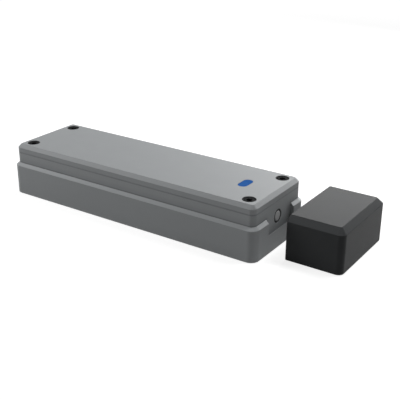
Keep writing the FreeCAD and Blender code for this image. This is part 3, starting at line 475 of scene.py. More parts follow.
@dataclass(frozen=True)
class CaseFinish(Finish):
    """Moulded case plastic with painted shade in its seam, above its rim, in its button recess and down its screw
    wells, and a painted highlight on the rim's long sides.
    """

    seam_mm: float = 22.6
    rim_mm: Pair = (15.5, 16.9)
    rim_long_mm: Pair = (19.5, 22.2)
    wall_mm: Pair = (73.3, 21.9)
    wall_corner_mm: float = 2.7
    skin_mm: float = 0.15
    recess_y_mm: Pair = (-11.0, 12.5)
    recess_floor_mm: float = 8.7
    recess_back_mm: float = 74.0
    well_axis_mm: Pair = (66.75, 15.35)
    well_radius_mm: float = 3.4
    well_floor_mm: float = 23.0
    # Colour factor of the painted highlight on the rim's slope.
    rubbed: float = 1.25
    # Colour factor of the painted shade in the seam and corners.
    dusty: float = 0.4
    # Colour factor of the painted shade down the screw wells.
    deep: float = 0.08

    def tone(self, graph: ShaderGraph, grain: Value) -> Socket:
        """The plain plastic, with a painted highlight on the rim and painted shade in the seam, corners and wells.

        Args:
            graph: the material's tree.
            grain: the grain, which the colour leaves out.

        Returns:
            The colour.
        """
        x, y, z = (graph.axis(name) for name in "XYZ")
        (wall_x, wall_y), corner, skin = self.wall_mm, self.wall_corner_mm, self.skin_mm
        (rim_foot, rim_top), (low, high), floor = self.rim_mm, self.recess_y_mm, self.recess_floor_mm
        outer = x.past(wall_x - corner).length(y.past(wall_y - corner)).above(corner - skin)
        on_end = x.above(wall_x - skin)
        # Painted shade: a dark line along the lid seam, a darker band on the wall just above the rim, and darker
        # corners in the button recess.
        seam = abs(z - self.seam_mm * MM).fade(0.15, 0.5, 0.5) * outer
        off_recess = outer - on_end * y.fade(low + 2.0, low) * y.fade(high - 2.0, high)
        foot = (z.fade(rim_top, rim_top + 0.8, 0.6) + z.fade(rim_top, rim_top + 3.5, 0.3)) * z.above(rim_top + 0.05)
        side = y.fade(high, high - 5.0, 0.6) * z.fade(rim_top - 1.0, rim_top + 2.5)
        recess = on_end * y.above(low) * y.below(high) * x.below(self.recess_back_mm)
        painted_shade = seam + foot * off_recess + (z.fade(floor, floor + 3.5, 0.5) + side) * recess
        # Painted shade down the walls of the screw wells.
        across, along = (abs(value) - axis * MM for value, axis in zip((x, y), self.well_axis_mm))
        well = across.length(along).fade(self.well_radius_mm - skin, self.well_radius_mm, 0.85)
        # Painted highlight: the rim's slope along the long sides is made lighter.
        slope = z.fade(rim_foot + 0.1, rim_foot - 0.1) * z.fade(rim_top - 0.15, rim_top - 0.05)
        slope = slope * abs(y).fade(*reversed(self.rim_long_mm))
        tone = graph.blended(slope, super().tone(graph, grain), scaled(self.colour, self.rubbed))
        tone = graph.blended(painted_shade.math("MINIMUM", 1.0), tone, scaled(self.colour, self.dusty))
        return graph.blended(well * z.above(self.well_floor_mm), tone, scaled(self.colour, self.deep))


@dataclass(frozen=True)
class BlockFinish(Finish):
    """Black plastic with a painted highlight on the sloped edges round its top."""

    slope_mm: Pair = (18.95, 21.62)
    case_side_mm: float = 84.4
    # Colour factor of the painted highlight on the slopes.
    rubbed: float = 1.5

    def tone(self, graph: ShaderGraph, grain: Value) -> Socket:
        """The plain plastic, with a painted highlight on the slopes.

        Args:
            graph: the material's tree.
            grain: the grain, which the colour leaves out.

        Returns:
            The colour.
        """
        x, z = graph.axis("X"), graph.axis("Z")
        foot, top = self.slope_mm
        # Painted highlight: the slopes round the top are made lighter.
        slope = z.fade(foot + 0.1, foot - 0.1) * z.fade(top - 0.05, top) * x.above(self.case_side_mm)
        return graph.blended(slope, super().tone(graph, grain), scaled(self.colour, self.rubbed))


CASE = CaseFinish("moulded_grey", "case_grey", (0.2945, 0.3066, 0.3147), 0.55, specular=0.3, mottle=0.012)
MAGNET = BlockFinish("satin_black", "magnet_black", (0.046, 0.0482, 0.0497), 0.4, specular=0.025, sheen=0.08,
                     mottle=0.03)
BUTTON = Finish("button_face", "button_grey", (0.385, 0.39, 0.395), 0.45, specular=0.3, mottle=0.012)
SCREW = Finish("blackened_steel", "screw_black", (0.011, 0.0115, 0.012), 0.6, specular=0.02, grain_depth_mm=0.006)
WINDOW = Finish("blue_light_guide", "window_blue", (0.018, 0.103, 0.355), 0.65, specular=0.02, mottle=0.06,
                patch_mm=3.0, patch_detail=2.0, grain_depth_mm=0.0, gloss_spread=0.0)
RUBBER = Finish("soft_rubber", "seal_black", (0.017, 0.017, 0.018), 0.75, specular=0.3, grain_depth_mm=0.02)
GASKET = Finish("gasket_rubber", "gasket_black", (0.02, 0.02, 0.021), 0.7, specular=0.3, grain_depth_mm=0.02)
BRASS = DrawnMetal("turned_brass", "brass", (0.72, 0.5, 0.2), 0.3, along=Axis.Z, mottle=0.06, grain_depth_mm=0.008)
STEEL = DrawnMetal("plated_steel", "steel", (0.5, 0.5, 0.515), 0.3, along=Axis.Z)
NICKEL = DrawnMetal("spring_nickel", "contact_nickel", (0.53, 0.52, 0.49), 0.27, along=Axis.Y)
TIN = DrawnMetal("tinned_sheet", "can_metal", (0.48, 0.485, 0.49), 0.33)
STRIP = DrawnMetal("aerial_strip", "contact_nickel", (0.5, 0.49, 0.46), 0.32, grain_mm=0.2, grain_depth_mm=0.002)
TRAY = Finish("tray_plastic", "tray_black", (0.03, 0.03, 0.032), specular=0.4)
FOAM = FoamFinish("foam_pad", "tape_foam", (0.42, 0.42, 0.4), specular=0.2)
MASK = MaskFinish("green_mask", "board_green", (0.01, 0.085, 0.035), 0.3, coat=0.2)
MODULE = MaskFinish("blue_mask", "module_green", (0.006, 0.035, 0.075), 0.3, copper=(0.012, 0.07, 0.12), pitch_mm=0.9)
EPOXY = Finish("black_epoxy", "chip_black", (0.022, 0.022, 0.023), 0.6, specular=0.35, grain_mm=0.12)
CONNECTOR = Finish("white_nylon", "connector_white", (0.72, 0.7, 0.62), 0.4)
RED_SHEATH = Finish("red_sheath", "lead_red", (0.42, 0.018, 0.014), 0.35, coat=0.1, grain_depth_mm=0.004)
BLACK_SHEATH = Finish("black_sheath", "lead_black", (0.018, 0.018, 0.019), 0.35, coat=0.1, grain_depth_mm=0.004)
SLEEVE = Finish("shrink_sleeve", "capacitor_sleeve", (0.02, 0.03, 0.065), 0.3, coat=0.2, grain_depth_mm=0.004)
GLASS = Finish("clear_glass", "reed_glass", (0.8, 0.93, 0.87), 0.05, transmission=0.85, mottle=0.0, grain_mm=3.0,
               grain_detail=1.0, grain_depth_mm=0.0, gloss_spread=0.02)
LAMP = Finish("pale_ceramic", "lamp_white", (0.78, 0.78, 0.72), 0.35)
FERRITE = SinteredFinish("sintered_ferrite", "ferrite", (0.075, 0.077, 0.082), metallic=0.4)
CAPACITOR = Finish("tan_ceramic", "chip_black", (0.34, 0.24, 0.15), 0.45, grain_mm=0.15)


# -------- mesh work


def circle_ring(radius: float, height: float, count: int = 48) -> Ring:
    """Points round a circle about Z, anticlockwise."""
    steps = [2 * math.pi * number / count for number in range(count)]
    return [(radius * math.cos(step), radius * math.sin(step), height) for step in steps]


def hexagon_ring(across: float, height: float) -> Ring:
    """Points round a hexagon about Z, at the same angles as a circle's.

    Args:
        across: width between flat sides.
        height: place on Z.

    Returns:
        The points.
    """
    ring = circle_ring(across / 2, height)
    turns = [math.atan2(y, x) % (math.pi / 3) - math.pi / 6 for x, y, _ in ring]
    return [(x / math.cos(turn), y / math.cos(turn), z) for turn, (x, y, z) in zip(turns, ring)]


def rounded_ring(half_x: float, half_y: float, radius: float, height: float, steps: int) -> Ring:
    """Points round a rectangle with round corners about Z, anticlockwise.

    Args:
        half_x: half its size along X.
        half_y: half its size along Y.
        radius: radius of its corners.
        height: place on Z.
        steps: edges across each corner.

    Returns:
        The points.
    """
    points = []
    for quarter, (sign_x, sign_y) in enumerate(((1, -1), (1, 1), (-1, 1), (-1, -1)), start=-1):
        for number in range(steps + 1):
            angle = math.pi / 2 * (quarter + number / steps)
            points.append((sign_x * (half_x - radius) + radius * math.cos(angle),
                           sign_y * (half_y - radius) + radius * math.sin(angle), height))
    return points


def mesh_of_rings(rings: list[Ring], closed: bool = False) -> Mesh:
    """Skin a stack of rings, with a face over each open end.

    Args:
        rings: rings of equal length, or a single point for an end that comes to a pole.
        closed: join the last ring to the first instead of covering the ends.

    Returns:
        The mesh.
    """
    made = bmesh.new()
    rows = [[made.verts.new(point) for point in ring] for ring in rings]
    for lower, upper in zip(rows, rows[1:] + rows[:1] if closed else rows[1:]):
        count = max(len(lower), len(upper))
        for number in range(count):
            following = (number + 1) % count
            corners = [row[place % len(row)] for row, place in
                       ((lower, number), (lower, following), (upper, following), (upper, number))]
            made.faces.new(list(dict.fromkeys(corners)))
    for end in () if closed else (rows[0][::-1], rows[-1]):
        if len(end) > 2:
            made.faces.new(end)
    bmesh.ops.recalc_face_normals(made, faces=made.faces)
    return made


def turned_mesh(profile: Profile, axis: Axis = Axis.Z, centre: Point = (0, 0, 0), count: int = 48) -> Mesh:
    """Turn a profile about an axis.

    Args:
        profile: radius and place along the axis, from one end to the other.
        axis: the line that it is turned about.
        centre: where the axis lies.
        count: points round each circle.

    Returns:
        The mesh.
    """
    rings = []
    for radius, height in profile:
        ring = circle_ring(radius, height, count) if radius > 0 else [(0.0, 0.0, height)]
        rings.append([tuple(a + b for a, b in zip(axis.turned(point), centre)) for point in ring])
    return mesh_of_rings(rings)


def joined(*parts: Mesh) -> Mesh:
    """Put several meshes into one, and free them.

    Args:
        parts: the meshes.

    Returns:
        The whole.
    """
    whole = bmesh.new()
    for part in parts:
        data = bpy.data.meshes.new("part")
        part.to_mesh(data)
        part.free()
        whole.from_mesh(data)
        bpy.data.meshes.remove(data)
    return whole


def boxes(*spans: Span) -> Mesh:
    """Boxes in one mesh, each from its reach along X, Y and Z."""
    return joined(*(mesh_of_rings([[(x[0], y[0], height), (x[1], y[0], height), (x[1], y[1], height),
                                    (x[0], y[1], height)] for height in z]) for x, y, z in spans))


def lifted(base: float, *profile: Pair) -> Profile:
    """A profile whose places are counted from a base."""
    return [(radius, base + rise) for radius, rise in profile]


def around(middle: float, half: float) -> Pair:
    """A reach to both sides of a place."""
    return middle - half, middle + half


def reach(node: str) -> Span:
    """A CAD node's reach along X, Y and Z."""
    return tuple((low / MM, high / MM) for low, high in zip(*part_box(node)))


def shown(name: str, data: bpy.types.ID) -> Item:
    """Make an object and link it to the scene.

    Args:
        name: its name.
        data: its mesh, curve, camera or light.

    Returns:
        The object.
    """
    item = bpy.data.objects.new(name, data)
    bpy.context.scene.collection.objects.link(item)
    return item


def object_of(name: str, made: Mesh, scale: float = MM) -> Item:
    """Make an object from a mesh.

    Args:
        name: the object's name.
        made: the mesh, which is freed.
        scale: metres to one unit of the mesh.

    Returns:
        The object, in metres, at the origin.
    """
    data = bpy.data.meshes.new(name)
    bmesh.ops.transform(made, matrix=Matrix.Scale(scale, 4), verts=made.verts)
    made.to_mesh(data)
    made.free()
    return shown(name, data)


def evaluated(item: Item) -> bpy.types.Mesh:
    """An object's mesh after its modifiers, or a curve's mesh."""
    bpy.context.view_layer.update()
    return bpy.data.meshes.new_from_object(item.evaluated_get(bpy.context.evaluated_depsgraph_get()))


def flattened(item: Item) -> Item:
    """Replace an object's mesh by its evaluated one and take its modifiers off.

    Args:
        item: the object.

    Returns:
        The same object.
    """
    data = evaluated(item)
    item.modifiers.clear()
    item.data = data
    return item


def moved(item: Item, offset: Point, turn: float = 0.0) -> Item:
    """Turn a mesh about Z, in degrees, and move it, in millimetres."""
    item.data.transform(Matrix.Translation(Vector(offset) * MM) @ Matrix.Rotation(math.radians(turn), 4, "Z"))
    return item


def softened(item: Item, edge: float = 0.0, segments: int = 2, smooth: float = 35.0) -> Item:
    """Round an object's hard edges and shade it smooth between them.

    Args:
        item: the object.
        edge: size of the rounding, or 0 for none.
        segments: faces across each rounding.
        smooth: edges bent by more than this many degrees stay sharp in the shading.

    Returns:
        The same object.
    """
    if edge > 0:
        bevel = item.modifiers.new("edges", "BEVEL")
        bevel.width = edge * MM
        bevel.segments = segments
        bevel.limit_method = "ANGLE"
        bevel.angle_limit = HARD_EDGE
        bevel.use_clamp_overlap = False
        flattened(item)
    item.data.polygons.foreach_set("use_smooth", [True] * len(item.data.polygons))
    item.data.set_sharp_from_angle(angle=math.radians(smooth))
    weighted = item.modifiers.new("normals", "WEIGHTED_NORMAL")
    weighted.keep_sharp = True
    weighted.mode = "FACE_AREA"
    weighted.weight = 50
    return flattened(item)


def dressed(item: Item, finish: Finish, *nodes: str, body: str = Body.BASE) -> Item:
    """Give a piece its finish and its place in the frame.

    Args:
        item: the piece.
        finish: its finish.
        nodes: the CAD nodes that it stands for.
        body: the body that it rides on.

    Returns:
        The same piece.
    """
    if not item.data.materials:
        item.data.materials.append(finish.material())
    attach(item, str(body))
    if nodes:
        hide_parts(*nodes)
    log.info("%s: %d faces on %s", item.name, len(item.data.polygons), body)
    return item


def copied(node: str, name: str, finish: Finish, edge: float, segments: int = 2, body: str = Body.BASE,
           moves: tuple[Move, ...] = ()) -> None:
    """Dress a copy of a node's mesh, with its triangles merged into faces and its edges rounded.

    Args:
        node: the node's name.
        name: the new piece's name.
        finish: its finish.
        edge: size of the rounding.
        segments: faces across each rounding.
        body: the body that it rides on.
        moves: corners that move on the copy: low end and high end of a box, and the move.
    """
    made = bmesh.new()
    made.from_mesh(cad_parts[node].data)
    bmesh.ops.remove_doubles(made, verts=made.verts, dist=SAME_PLACE)
    bmesh.ops.dissolve_limit(made, angle_limit=FLAT_EDGE, verts=made.verts, edges=made.edges)
    for low, high, move in moves:
        for vert in made.verts:
            if all(a * MM < place < b * MM for a, place, b in zip(low, vert.co, high)):
                vert.co += Vector(move) * MM
    dressed(softened(object_of(name, made, 1.0), edge, segments), finish, node, body=body)


def shaped(name: str, made: Mesh, finish: Finish, *nodes: str, edge: float = 0.0, segments: int = 2,
           smooth: float = 35.0, place: Point | None = None, turn: float = 0.0) -> None:
    """Make and dress a piece of the sensor's base from a mesh.

    Args:
        name: the piece's name.
        made: the mesh, which is freed.
        finish: its finish.
        nodes: the CAD nodes that it stands for.
        edge: size of its rounded edges, or 0 for none.
        segments: faces across each rounding.
        smooth: edges bent by more than this many degrees stay sharp in the shading.
        place: where it goes, or None if the mesh lies there already.
        turn: its turn about Z before it is placed, in degrees.
    """
    item = softened(object_of(name, made), edge, segments, smooth)
    dressed(moved(item, place, turn) if place else item, finish, *nodes)


# -------- repeated shapes


class Repeat(Graph):
    """One Geometry Nodes tree with named inputs, and the object of one finish that it makes."""

    def __init__(self, name: str, finish: Finish) -> None:
        """Start a tree with a geometry input and output.

        Args:
            name: the object's name.
            finish: its finish.
        """
        super().__init__(bpy.data.node_groups.new(f"{name}_tree", "GeometryNodeTree"))
        for side in ("INPUT", "OUTPUT"):
            self.tree.interface.new_socket("Geometry", in_out=side, socket_type="NodeSocketGeometry")
        self.start = self.node("NodeGroupInput")
        self.values: dict[str, object] = {}
        self.name, self.finish = name, finish

    @property
    def given(self) -> Socket:
        """The geometry that the tree runs on."""
        return self.start.outputs["Geometry"]

    def input(self, name: str, value: object) -> Socket:
        """Add a named input.

        Args:
            name: the input's name.
            value: its value: a float, an int, a vector or a material.

        Returns:
            The output of the group's input node.
        """
        kind = {float: "Float", int: "Int", tuple: "Vector", bpy.types.Material: "Material"}[type(value)]
        socket = self.tree.interface.new_socket(name, in_out="INPUT", socket_type=f"NodeSocket{kind}")
        self.values[socket.identifier] = value
        return self.start.outputs[name]

    def made(self, kind: str, settings: dict[str, object] | None = None, **inputs: object) -> Socket:
        """The first output of a new node."""
        return self.node(kind, settings, **inputs).outputs[0]

    def instanced(self, points: Socket, shape: Socket, **inputs: object) -> Socket:
        """A shape on each point."""
        return self.made("GeometryNodeInstanceOnPoints", Points=points, Instance=shape, **inputs)

    def vector(self, **parts: object) -> Socket:
        """A vector from its X, Y and Z."""
        return self.made("ShaderNodeCombineXYZ", **parts)

    def run(self, geometry: Socket, item: Item | None = None) -> Item:
        """Finish the tree, run it and keep the result as a plain mesh.

        Args:
            geometry: the tree's result before it is realised.
            item: the object that it runs on, or None if the tree makes its own shape.

        Returns:
            The object.
        """
        real = self.made("GeometryNodeRealizeInstances", Geometry=geometry)
        finish = self.input("Finish", self.finish.material())
        self.node("NodeGroupOutput", Geometry=self.made("GeometryNodeSetMaterial", Geometry=real, Material=finish))
        item = item or object_of(self.name, bmesh.new())
        modifier = item.modifiers.new("repeat", "NODES")
        modifier.node_group = self.tree
        for identifier, value in self.values.items():
            modifier[identifier] = value
        return flattened(item)

    def swept(self, line: Socket, section: Socket, caps: bool = False) -> Socket:
        """A section drawn along a line, which keeps its upright.

        Args:
            line: the curve that it follows.
            section: its outline, as a curve.
            caps: cover the ends.

        Returns:
            The mesh.
        """
        upright = self.made("GeometryNodeSetCurveNormal", {"mode": "Z_UP"}, Curve=line)
        return self.made("GeometryNodeCurveToMesh", Curve=upright, Profile_Curve=section, Fill_Caps=caps)

    def thread(self, radius: float, length: float, ridge: float) -> Item:
        """A helical ridge about Z that starts at the origin, as a screw's thread.

        Args:
            radius: radius of the ridge's middle.
            length: height of the thread.
            ridge: width of the ridge across its flanks.

        Returns:
            The object.
        """
        spiral = self.made("GeometryNodeCurveSpiral", Resolution=self.input("Steps", 24),
                           Rotations=self.input("Turns", length / THREAD_PITCH),
                           Start_Radius=self.input("Radius", radius * MM), End_Radius=radius * MM,
                           Height=self.input("Length", length * MM))
        flank = self.made("GeometryNodeCurvePrimitiveCircle", Resolution=4, Radius=self.input("Ridge", ridge / 2 * MM))
        return self.run(self.swept(spiral, flank, True))

    def ridges(self, count: int, radius: float, height: float, ridge: float) -> Item:
        """Straight ridges round a cylinder about Z, as a knurl, standing on the origin.

        Args:
            count: number of ridges.
            radius: radius of the cylinder.
            height: height of the ridges.
            ridge: width of each ridge.

        Returns:
            The object.
        """
        circle = self.made("GeometryNodeMeshCircle", Vertices=self.input("Count", count),
                           Radius=self.input("Radius", radius * MM))
        rod = self.made("GeometryNodeMeshCylinder", Vertices=4, Radius=self.input("Ridge", ridge / 2 * MM),
                        Depth=self.input("Height", height * MM))
        facing = self.made("FunctionNodeAlignRotationToVector", {"axis": "X"},
                           Vector=self.made("GeometryNodeInputPosition"))
        return moved(self.run(self.instanced(circle, rod, Rotation=facing)), (0, 0, height / 2))

    def rows(self, shape: Mesh, edge: float, count: int, pitch: float, sides: int) -> Item:
        """Repeat one small shape in a straight row, and the row round Z on several sides.

        Args:
            shape: the shape, at its distance from Z along +Y.
            edge: size of its rounded edges.
            count: shapes in each row.
            pitch: distance between them.
            sides: rows, spread evenly round Z.

        Returns:
            The object.
        """
        shapes, step, rows = (self.input(*pair) for pair in (("Count", count), ("Pitch", pitch * MM), ("Sides", sides)))
        start = self.math("MULTIPLY", self.math("MULTIPLY", self.math("SUBTRACT", shapes, 1.0), step), -0.5)
        line = self.made("GeometryNodeMeshLine", Count=shapes, Start_Location=self.vector(X=start),
                         Offset=self.vector(X=step))
        row = self.made("GeometryNodeRealizeInstances", Geometry=self.instanced(line, self.given))
        hub = self.made("GeometryNodeMeshLine", Count=rows, Offset=(0, 0, 0))
        angle = self.math("MULTIPLY", self.made("GeometryNodeInputIndex"), self.math("DIVIDE", 2 * math.pi, rows))
        whole = self.instanced(hub, row, Rotation=self.vector(Z=angle))
        return self.run(whole, softened(object_of(self.name, shape), edge))

    def placed(self, item: Item, places: list[tuple[float, float, float, float]]) -> Item:
        """Repeat one small shape at given places, each with its own turn about Z.

        Args:
            item: the shape, at the origin, which is removed.
            places: x, y and z, and the turn in degrees.

        Returns:
            The object.
        """
        points = bmesh.new()
        turn_layer = points.verts.layers.float.new("turn")
        for x, y, z, turn in places:
            points.verts.new((x, y, z))[turn_layer] = math.radians(turn)
        shape = self.node("GeometryNodeObjectInfo", {"transform_space": "ORIGINAL"}, Object=item)
        angle = self.made("GeometryNodeInputNamedAttribute", {"data_type": "FLOAT"}, Name="turn")
        whole = self.instanced(self.given, shape.outputs["Geometry"], Rotation=self.vector(Z=angle),
                               Scale=self.input("Scale", (1.0, 1.0, 1.0)))
        made = self.run(whole, object_of(self.name, points))
        bpy.data.objects.remove(item)
        return made

    def bead(self, outline: Profile, height: float, width: float, rise: float, fillet: float) -> Item:
        """A bead that follows a closed outline, with round corners and a round-topped section.

        Args:
            outline: corners of its middle line.
            height: height of its underside.
            width: its width.
            rise: its height above the underside.
            fillet: radius of the outline's corners.

        Returns:
            The object.
        """
        path = bmesh.new()
        corners = [path.verts.new((x, y, height + rise / 2)) for x, y in outline]
        for pair in zip(corners, corners[1:] + corners[:1]):
            path.edges.new(pair)
        rounded = self.made("GeometryNodeFilletCurve", {"mode": "POLY"}, Count=6,
                            Curve=self.made("GeometryNodeMeshToCurve", Mesh=self.given),
                            Radius=self.input("Fillet", fillet * MM))
        section = self.made("GeometryNodeTransform",
                            Geometry=self.made("GeometryNodeCurvePrimitiveCircle", Resolution=16, Radius=1.0),
                            Scale=self.input("Section", (width / 2 * MM, rise / 2 * MM, 1.0)))
        return self.run(self.swept(rounded, section), object_of(self.name, path))


def merged(name: str, *items: Item) -> Item:
    """Join finished objects into one, which takes its material when it is dressed.

    Args:
        name: the new object's name.
        items: the objects, which are removed.

    Returns:
        The joined object.
    """
    whole = bmesh.new()
    for item in items:
        whole.from_mesh(item.data)
        bpy.data.objects.remove(item)
    for face in whole.faces:
        face.material_index = 0
    return object_of(name, whole, 1.0)


def tube(name: str, points: Ring, radius: float, sides: int = 16) -> Item:
    """A smooth tube along a line.

    Args:
        name: the object's name.
        points: the line's control points.
        radius: the tube's radius.
        sides: faces round it.

    Returns:
        The tube as a mesh object.
    """
    curve = bpy.data.curves.new(name, "CURVE")
    curve.dimensions = "3D"
    curve.bevel_depth = radius * MM
    curve.bevel_resolution = sides // 4 - 1
    curve.use_fill_caps = True
    spline = curve.splines.new("NURBS")
    spline.points.add(len(points) - 1)
    for control, point in zip(spline.points, points):
        control.co = (*(value * MM for value in point), 1.0)
    spline.order_u = 3
    spline.use_endpoint_u = True
    spline.resolution_u = 8
    holder = shown(f"{name}_line", curve)
    data = evaluated(holder)
    bpy.data.objects.remove(holder)
    data.materials.clear()
    return shown(name, data)


# -------- the sensor


@dataclass
class SensorCase:
    """The moulded tub with its brass inserts, gasket and adhesive pad."""

    edge: float = 0.12
    recess_lip: tuple[Move, ...] = (
        ((74.8, -11.2, 8.6), (75.2, 12.7, 8.8), (0.0, 0.0, 1.0)),
        ((73.1, -11.2, 8.6), (73.5, 12.7, 8.8), (0.0, 0.0, -0.9)),
    )
    hollow: Pair = (70.8, 19.4)
    step: Pair = (61.75, 10.35)
    seam: float = 22.6
    groove_depth: float = 1.4
    groove_middle: float = 1.2
    groove_width: float = 1.1
    groove_corner: float = 0.6
    insert_across: float = 4.98
    insert_length: float = 6.0
    insert_bore: float = 3.1
    insert_chamfer: float = 0.3
    insert_waist: float = 0.6
    screw_axes: tuple[Pair, ...] = ((66.75, 15.35), (66.75, -15.35), (-66.75, -15.35), (-66.75, 15.35))

    def build(self) -> None:
        """Build and dress every piece of the case."""
        copied("base_case", "case_shell", CASE, self.edge, 3, moves=self.recess_lip)
        copied("mounting_tape", "case_pad", FOAM, 0.15)
        self.gasket()
        self.inserts()

    def gasket(self) -> None:
        """Lay the rubber bead in its groove, which steps in round the four posts."""
        (half_x, half_y), (step_x, step_y) = ([size + self.groove_middle for size in pair]
                                              for pair in (self.hollow, self.step))
        outline = [(half_x, -step_y), (half_x, step_y), (step_x, step_y), (step_x, half_y),
                   (-step_x, half_y), (-step_x, step_y), (-half_x, step_y), (-half_x, -step_y),
                   (-step_x, -step_y), (-step_x, -half_y), (step_x, -half_y), (step_x, -step_y)]
        item = Repeat("gasket_bead", GASKET).bead(outline, self.seam - self.groove_depth, self.groove_width,
                                                  self.groove_depth, self.groove_corner)
        dressed(softened(item, smooth=60), GASKET, "gasket")

    def inserts(self) -> None:
        """Make the hexagonal brass inserts with a waist and a chamfered, threaded bore."""
        low, high, bore = self.seam - self.insert_length, self.seam, self.insert_bore / 2
        chamfer, waist = self.insert_chamfer, self.insert_waist
        walls = ((0.5, low), (0, low + 0.3), (0, low + 2.4), (waist, low + 2.7), (waist, low + 3.3), (0, low + 3.6),
                 (0, high - 0.2), (0.35, high))
        rings = [circle_ring(bore, low + chamfer), circle_ring(bore + chamfer, low)]
        rings += [hexagon_ring(self.insert_across - cut, height) for cut, height in walls]
        rings += [circle_ring(bore + chamfer, high), circle_ring(bore, high - chamfer)]
        bush = softened(object_of("bush", mesh_of_rings(rings, closed=True)), smooth=28)
        ridge = moved(Repeat("bush_thread", BRASS).thread(bore + 0.1, self.insert_length - 0.8, 0.34),
                      (0, 0, low + 0.4))
        places = [(x, y, 0.0, 0.0) for x, y in self.screw_axes]
        item = Repeat("brass_inserts", BRASS).placed(merged("bush_whole", bush, ridge), places)
        dressed(item, BRASS, "threaded_inserts")


@dataclass
class Lid:
    """The lid plate with its blue window."""

    edge: float = 0.11

    def build(self) -> None:
        """Build and dress the lid and its window."""
        copied("lid", "lid_shell", CASE, self.edge, 3, Body.LID)
        copied("light_pipe", "status_window", WINDOW, 0.15, body=Body.LID)


@dataclass
class LidScrew:
    """One black socket screw: a domed, knurled head with a hexagon socket, and a threaded shank."""

    number: int
    x: float
    y: float
    seat: float = 23.8
    head_radius: float = 2.95
    head_height: float = 2.9
    dome: float = 0.55
    dome_steps: int = 4
    length: float = 10.0
    core: float = 1.26
    socket: float = 2.5
    socket_depth: float = 1.5
    ridges: int = 36

    def build(self) -> None:
        """Build the screw on its own body."""
        tip, seat, top = self.seat - self.length, self.seat, self.seat + self.head_height
        core, radius, floor = self.core, self.head_radius, self.seat + self.head_height - self.socket_depth
        rings = [[(0, 0, tip)], circle_ring(0.95, tip), circle_ring(core, tip + 0.35), circle_ring(core, seat - 0.15),
                 circle_ring(1.5, seat), circle_ring(radius - 0.12, seat), circle_ring(radius, seat + 0.12)]
        for step in range(self.dome_steps + 1):
            angle = math.pi / 2 * step / self.dome_steps
            rings.append(circle_ring(radius - self.dome * (1 - math.cos(angle)),
                                     top - self.dome * (1 - math.sin(angle))))
        rings += [hexagon_ring(self.socket + 0.35, top), hexagon_ring(self.socket, top - 0.18),
                  hexagon_ring(self.socket, floor), [(0, 0, floor - 0.35)]]
        head = softened(object_of("head", mesh_of_rings(rings)), smooth=32)
        ridge = moved(Repeat("screw_thread", SCREW).thread(core - 0.02, self.length - 0.6, 0.5), (0, 0, tip + 0.3))
        knurl = moved(Repeat("screw_knurl", SCREW).ridges(self.ridges, radius - 0.09, self.head_height - 0.8, 0.26),
                      (0, 0, seat + 0.15))
        name = f"lid_screw_{self.number}"
        item = moved(merged(f"{name}_dressed", head, ridge, knurl), (self.x, self.y, 0))
        dressed(item, SCREW, name, body=name)


@dataclass
class EndButton:
    """The push button in the end wall, its rubber seal and the switch behind it."""

    tail_half: float = 0.3
    tail_width: float = 0.7
    tail_height: float = 1.4

    def build(self) -> None:
        """Build and dress the button's pieces."""
        copied("button_cap", "push_button", BUTTON, 0.1, body=Body.BUTTON)
        copied("switch_plunger", "plunger", EPOXY, 0.12, body=Body.BUTTON)
        copied("button_seal", "button_boot", RUBBER, 0.08)
        self.switch()

    def switch(self) -> None:
        """Build the press switch: moulded block, tin cover and solder tails."""
        copied("press_switch", "press_switch_block", EPOXY, 0.12)
        (x0, x1), (y0, y1), (z0, z1) = reach("press_switch")
        cover = boxes(((x0 - 0.12, x1 - 0.6), (y0 + 0.35, y1 - 0.35), (z1 - 2.1, z1 + 0.15)))
        shaped("switch_cover", cover, TIN, edge=0.12)
        rise = (z0, z0 + self.tail_height)
        tails = [((x0 - 0.35, x0 + 0.1), around(y, self.tail_half), rise) for y in (y0 + 1.1, y1 - 1.1)]
        tails += [((x, x + self.tail_width), side, rise) for side in ((y0 - 0.3, y0 + 0.1), (y1 - 0.1, y1 + 0.3))
                  for x in (x0 + 0.8, x1 - 1.6)]
        shaped("switch_tails", boxes(*tails), NICKEL, edge=0.06)


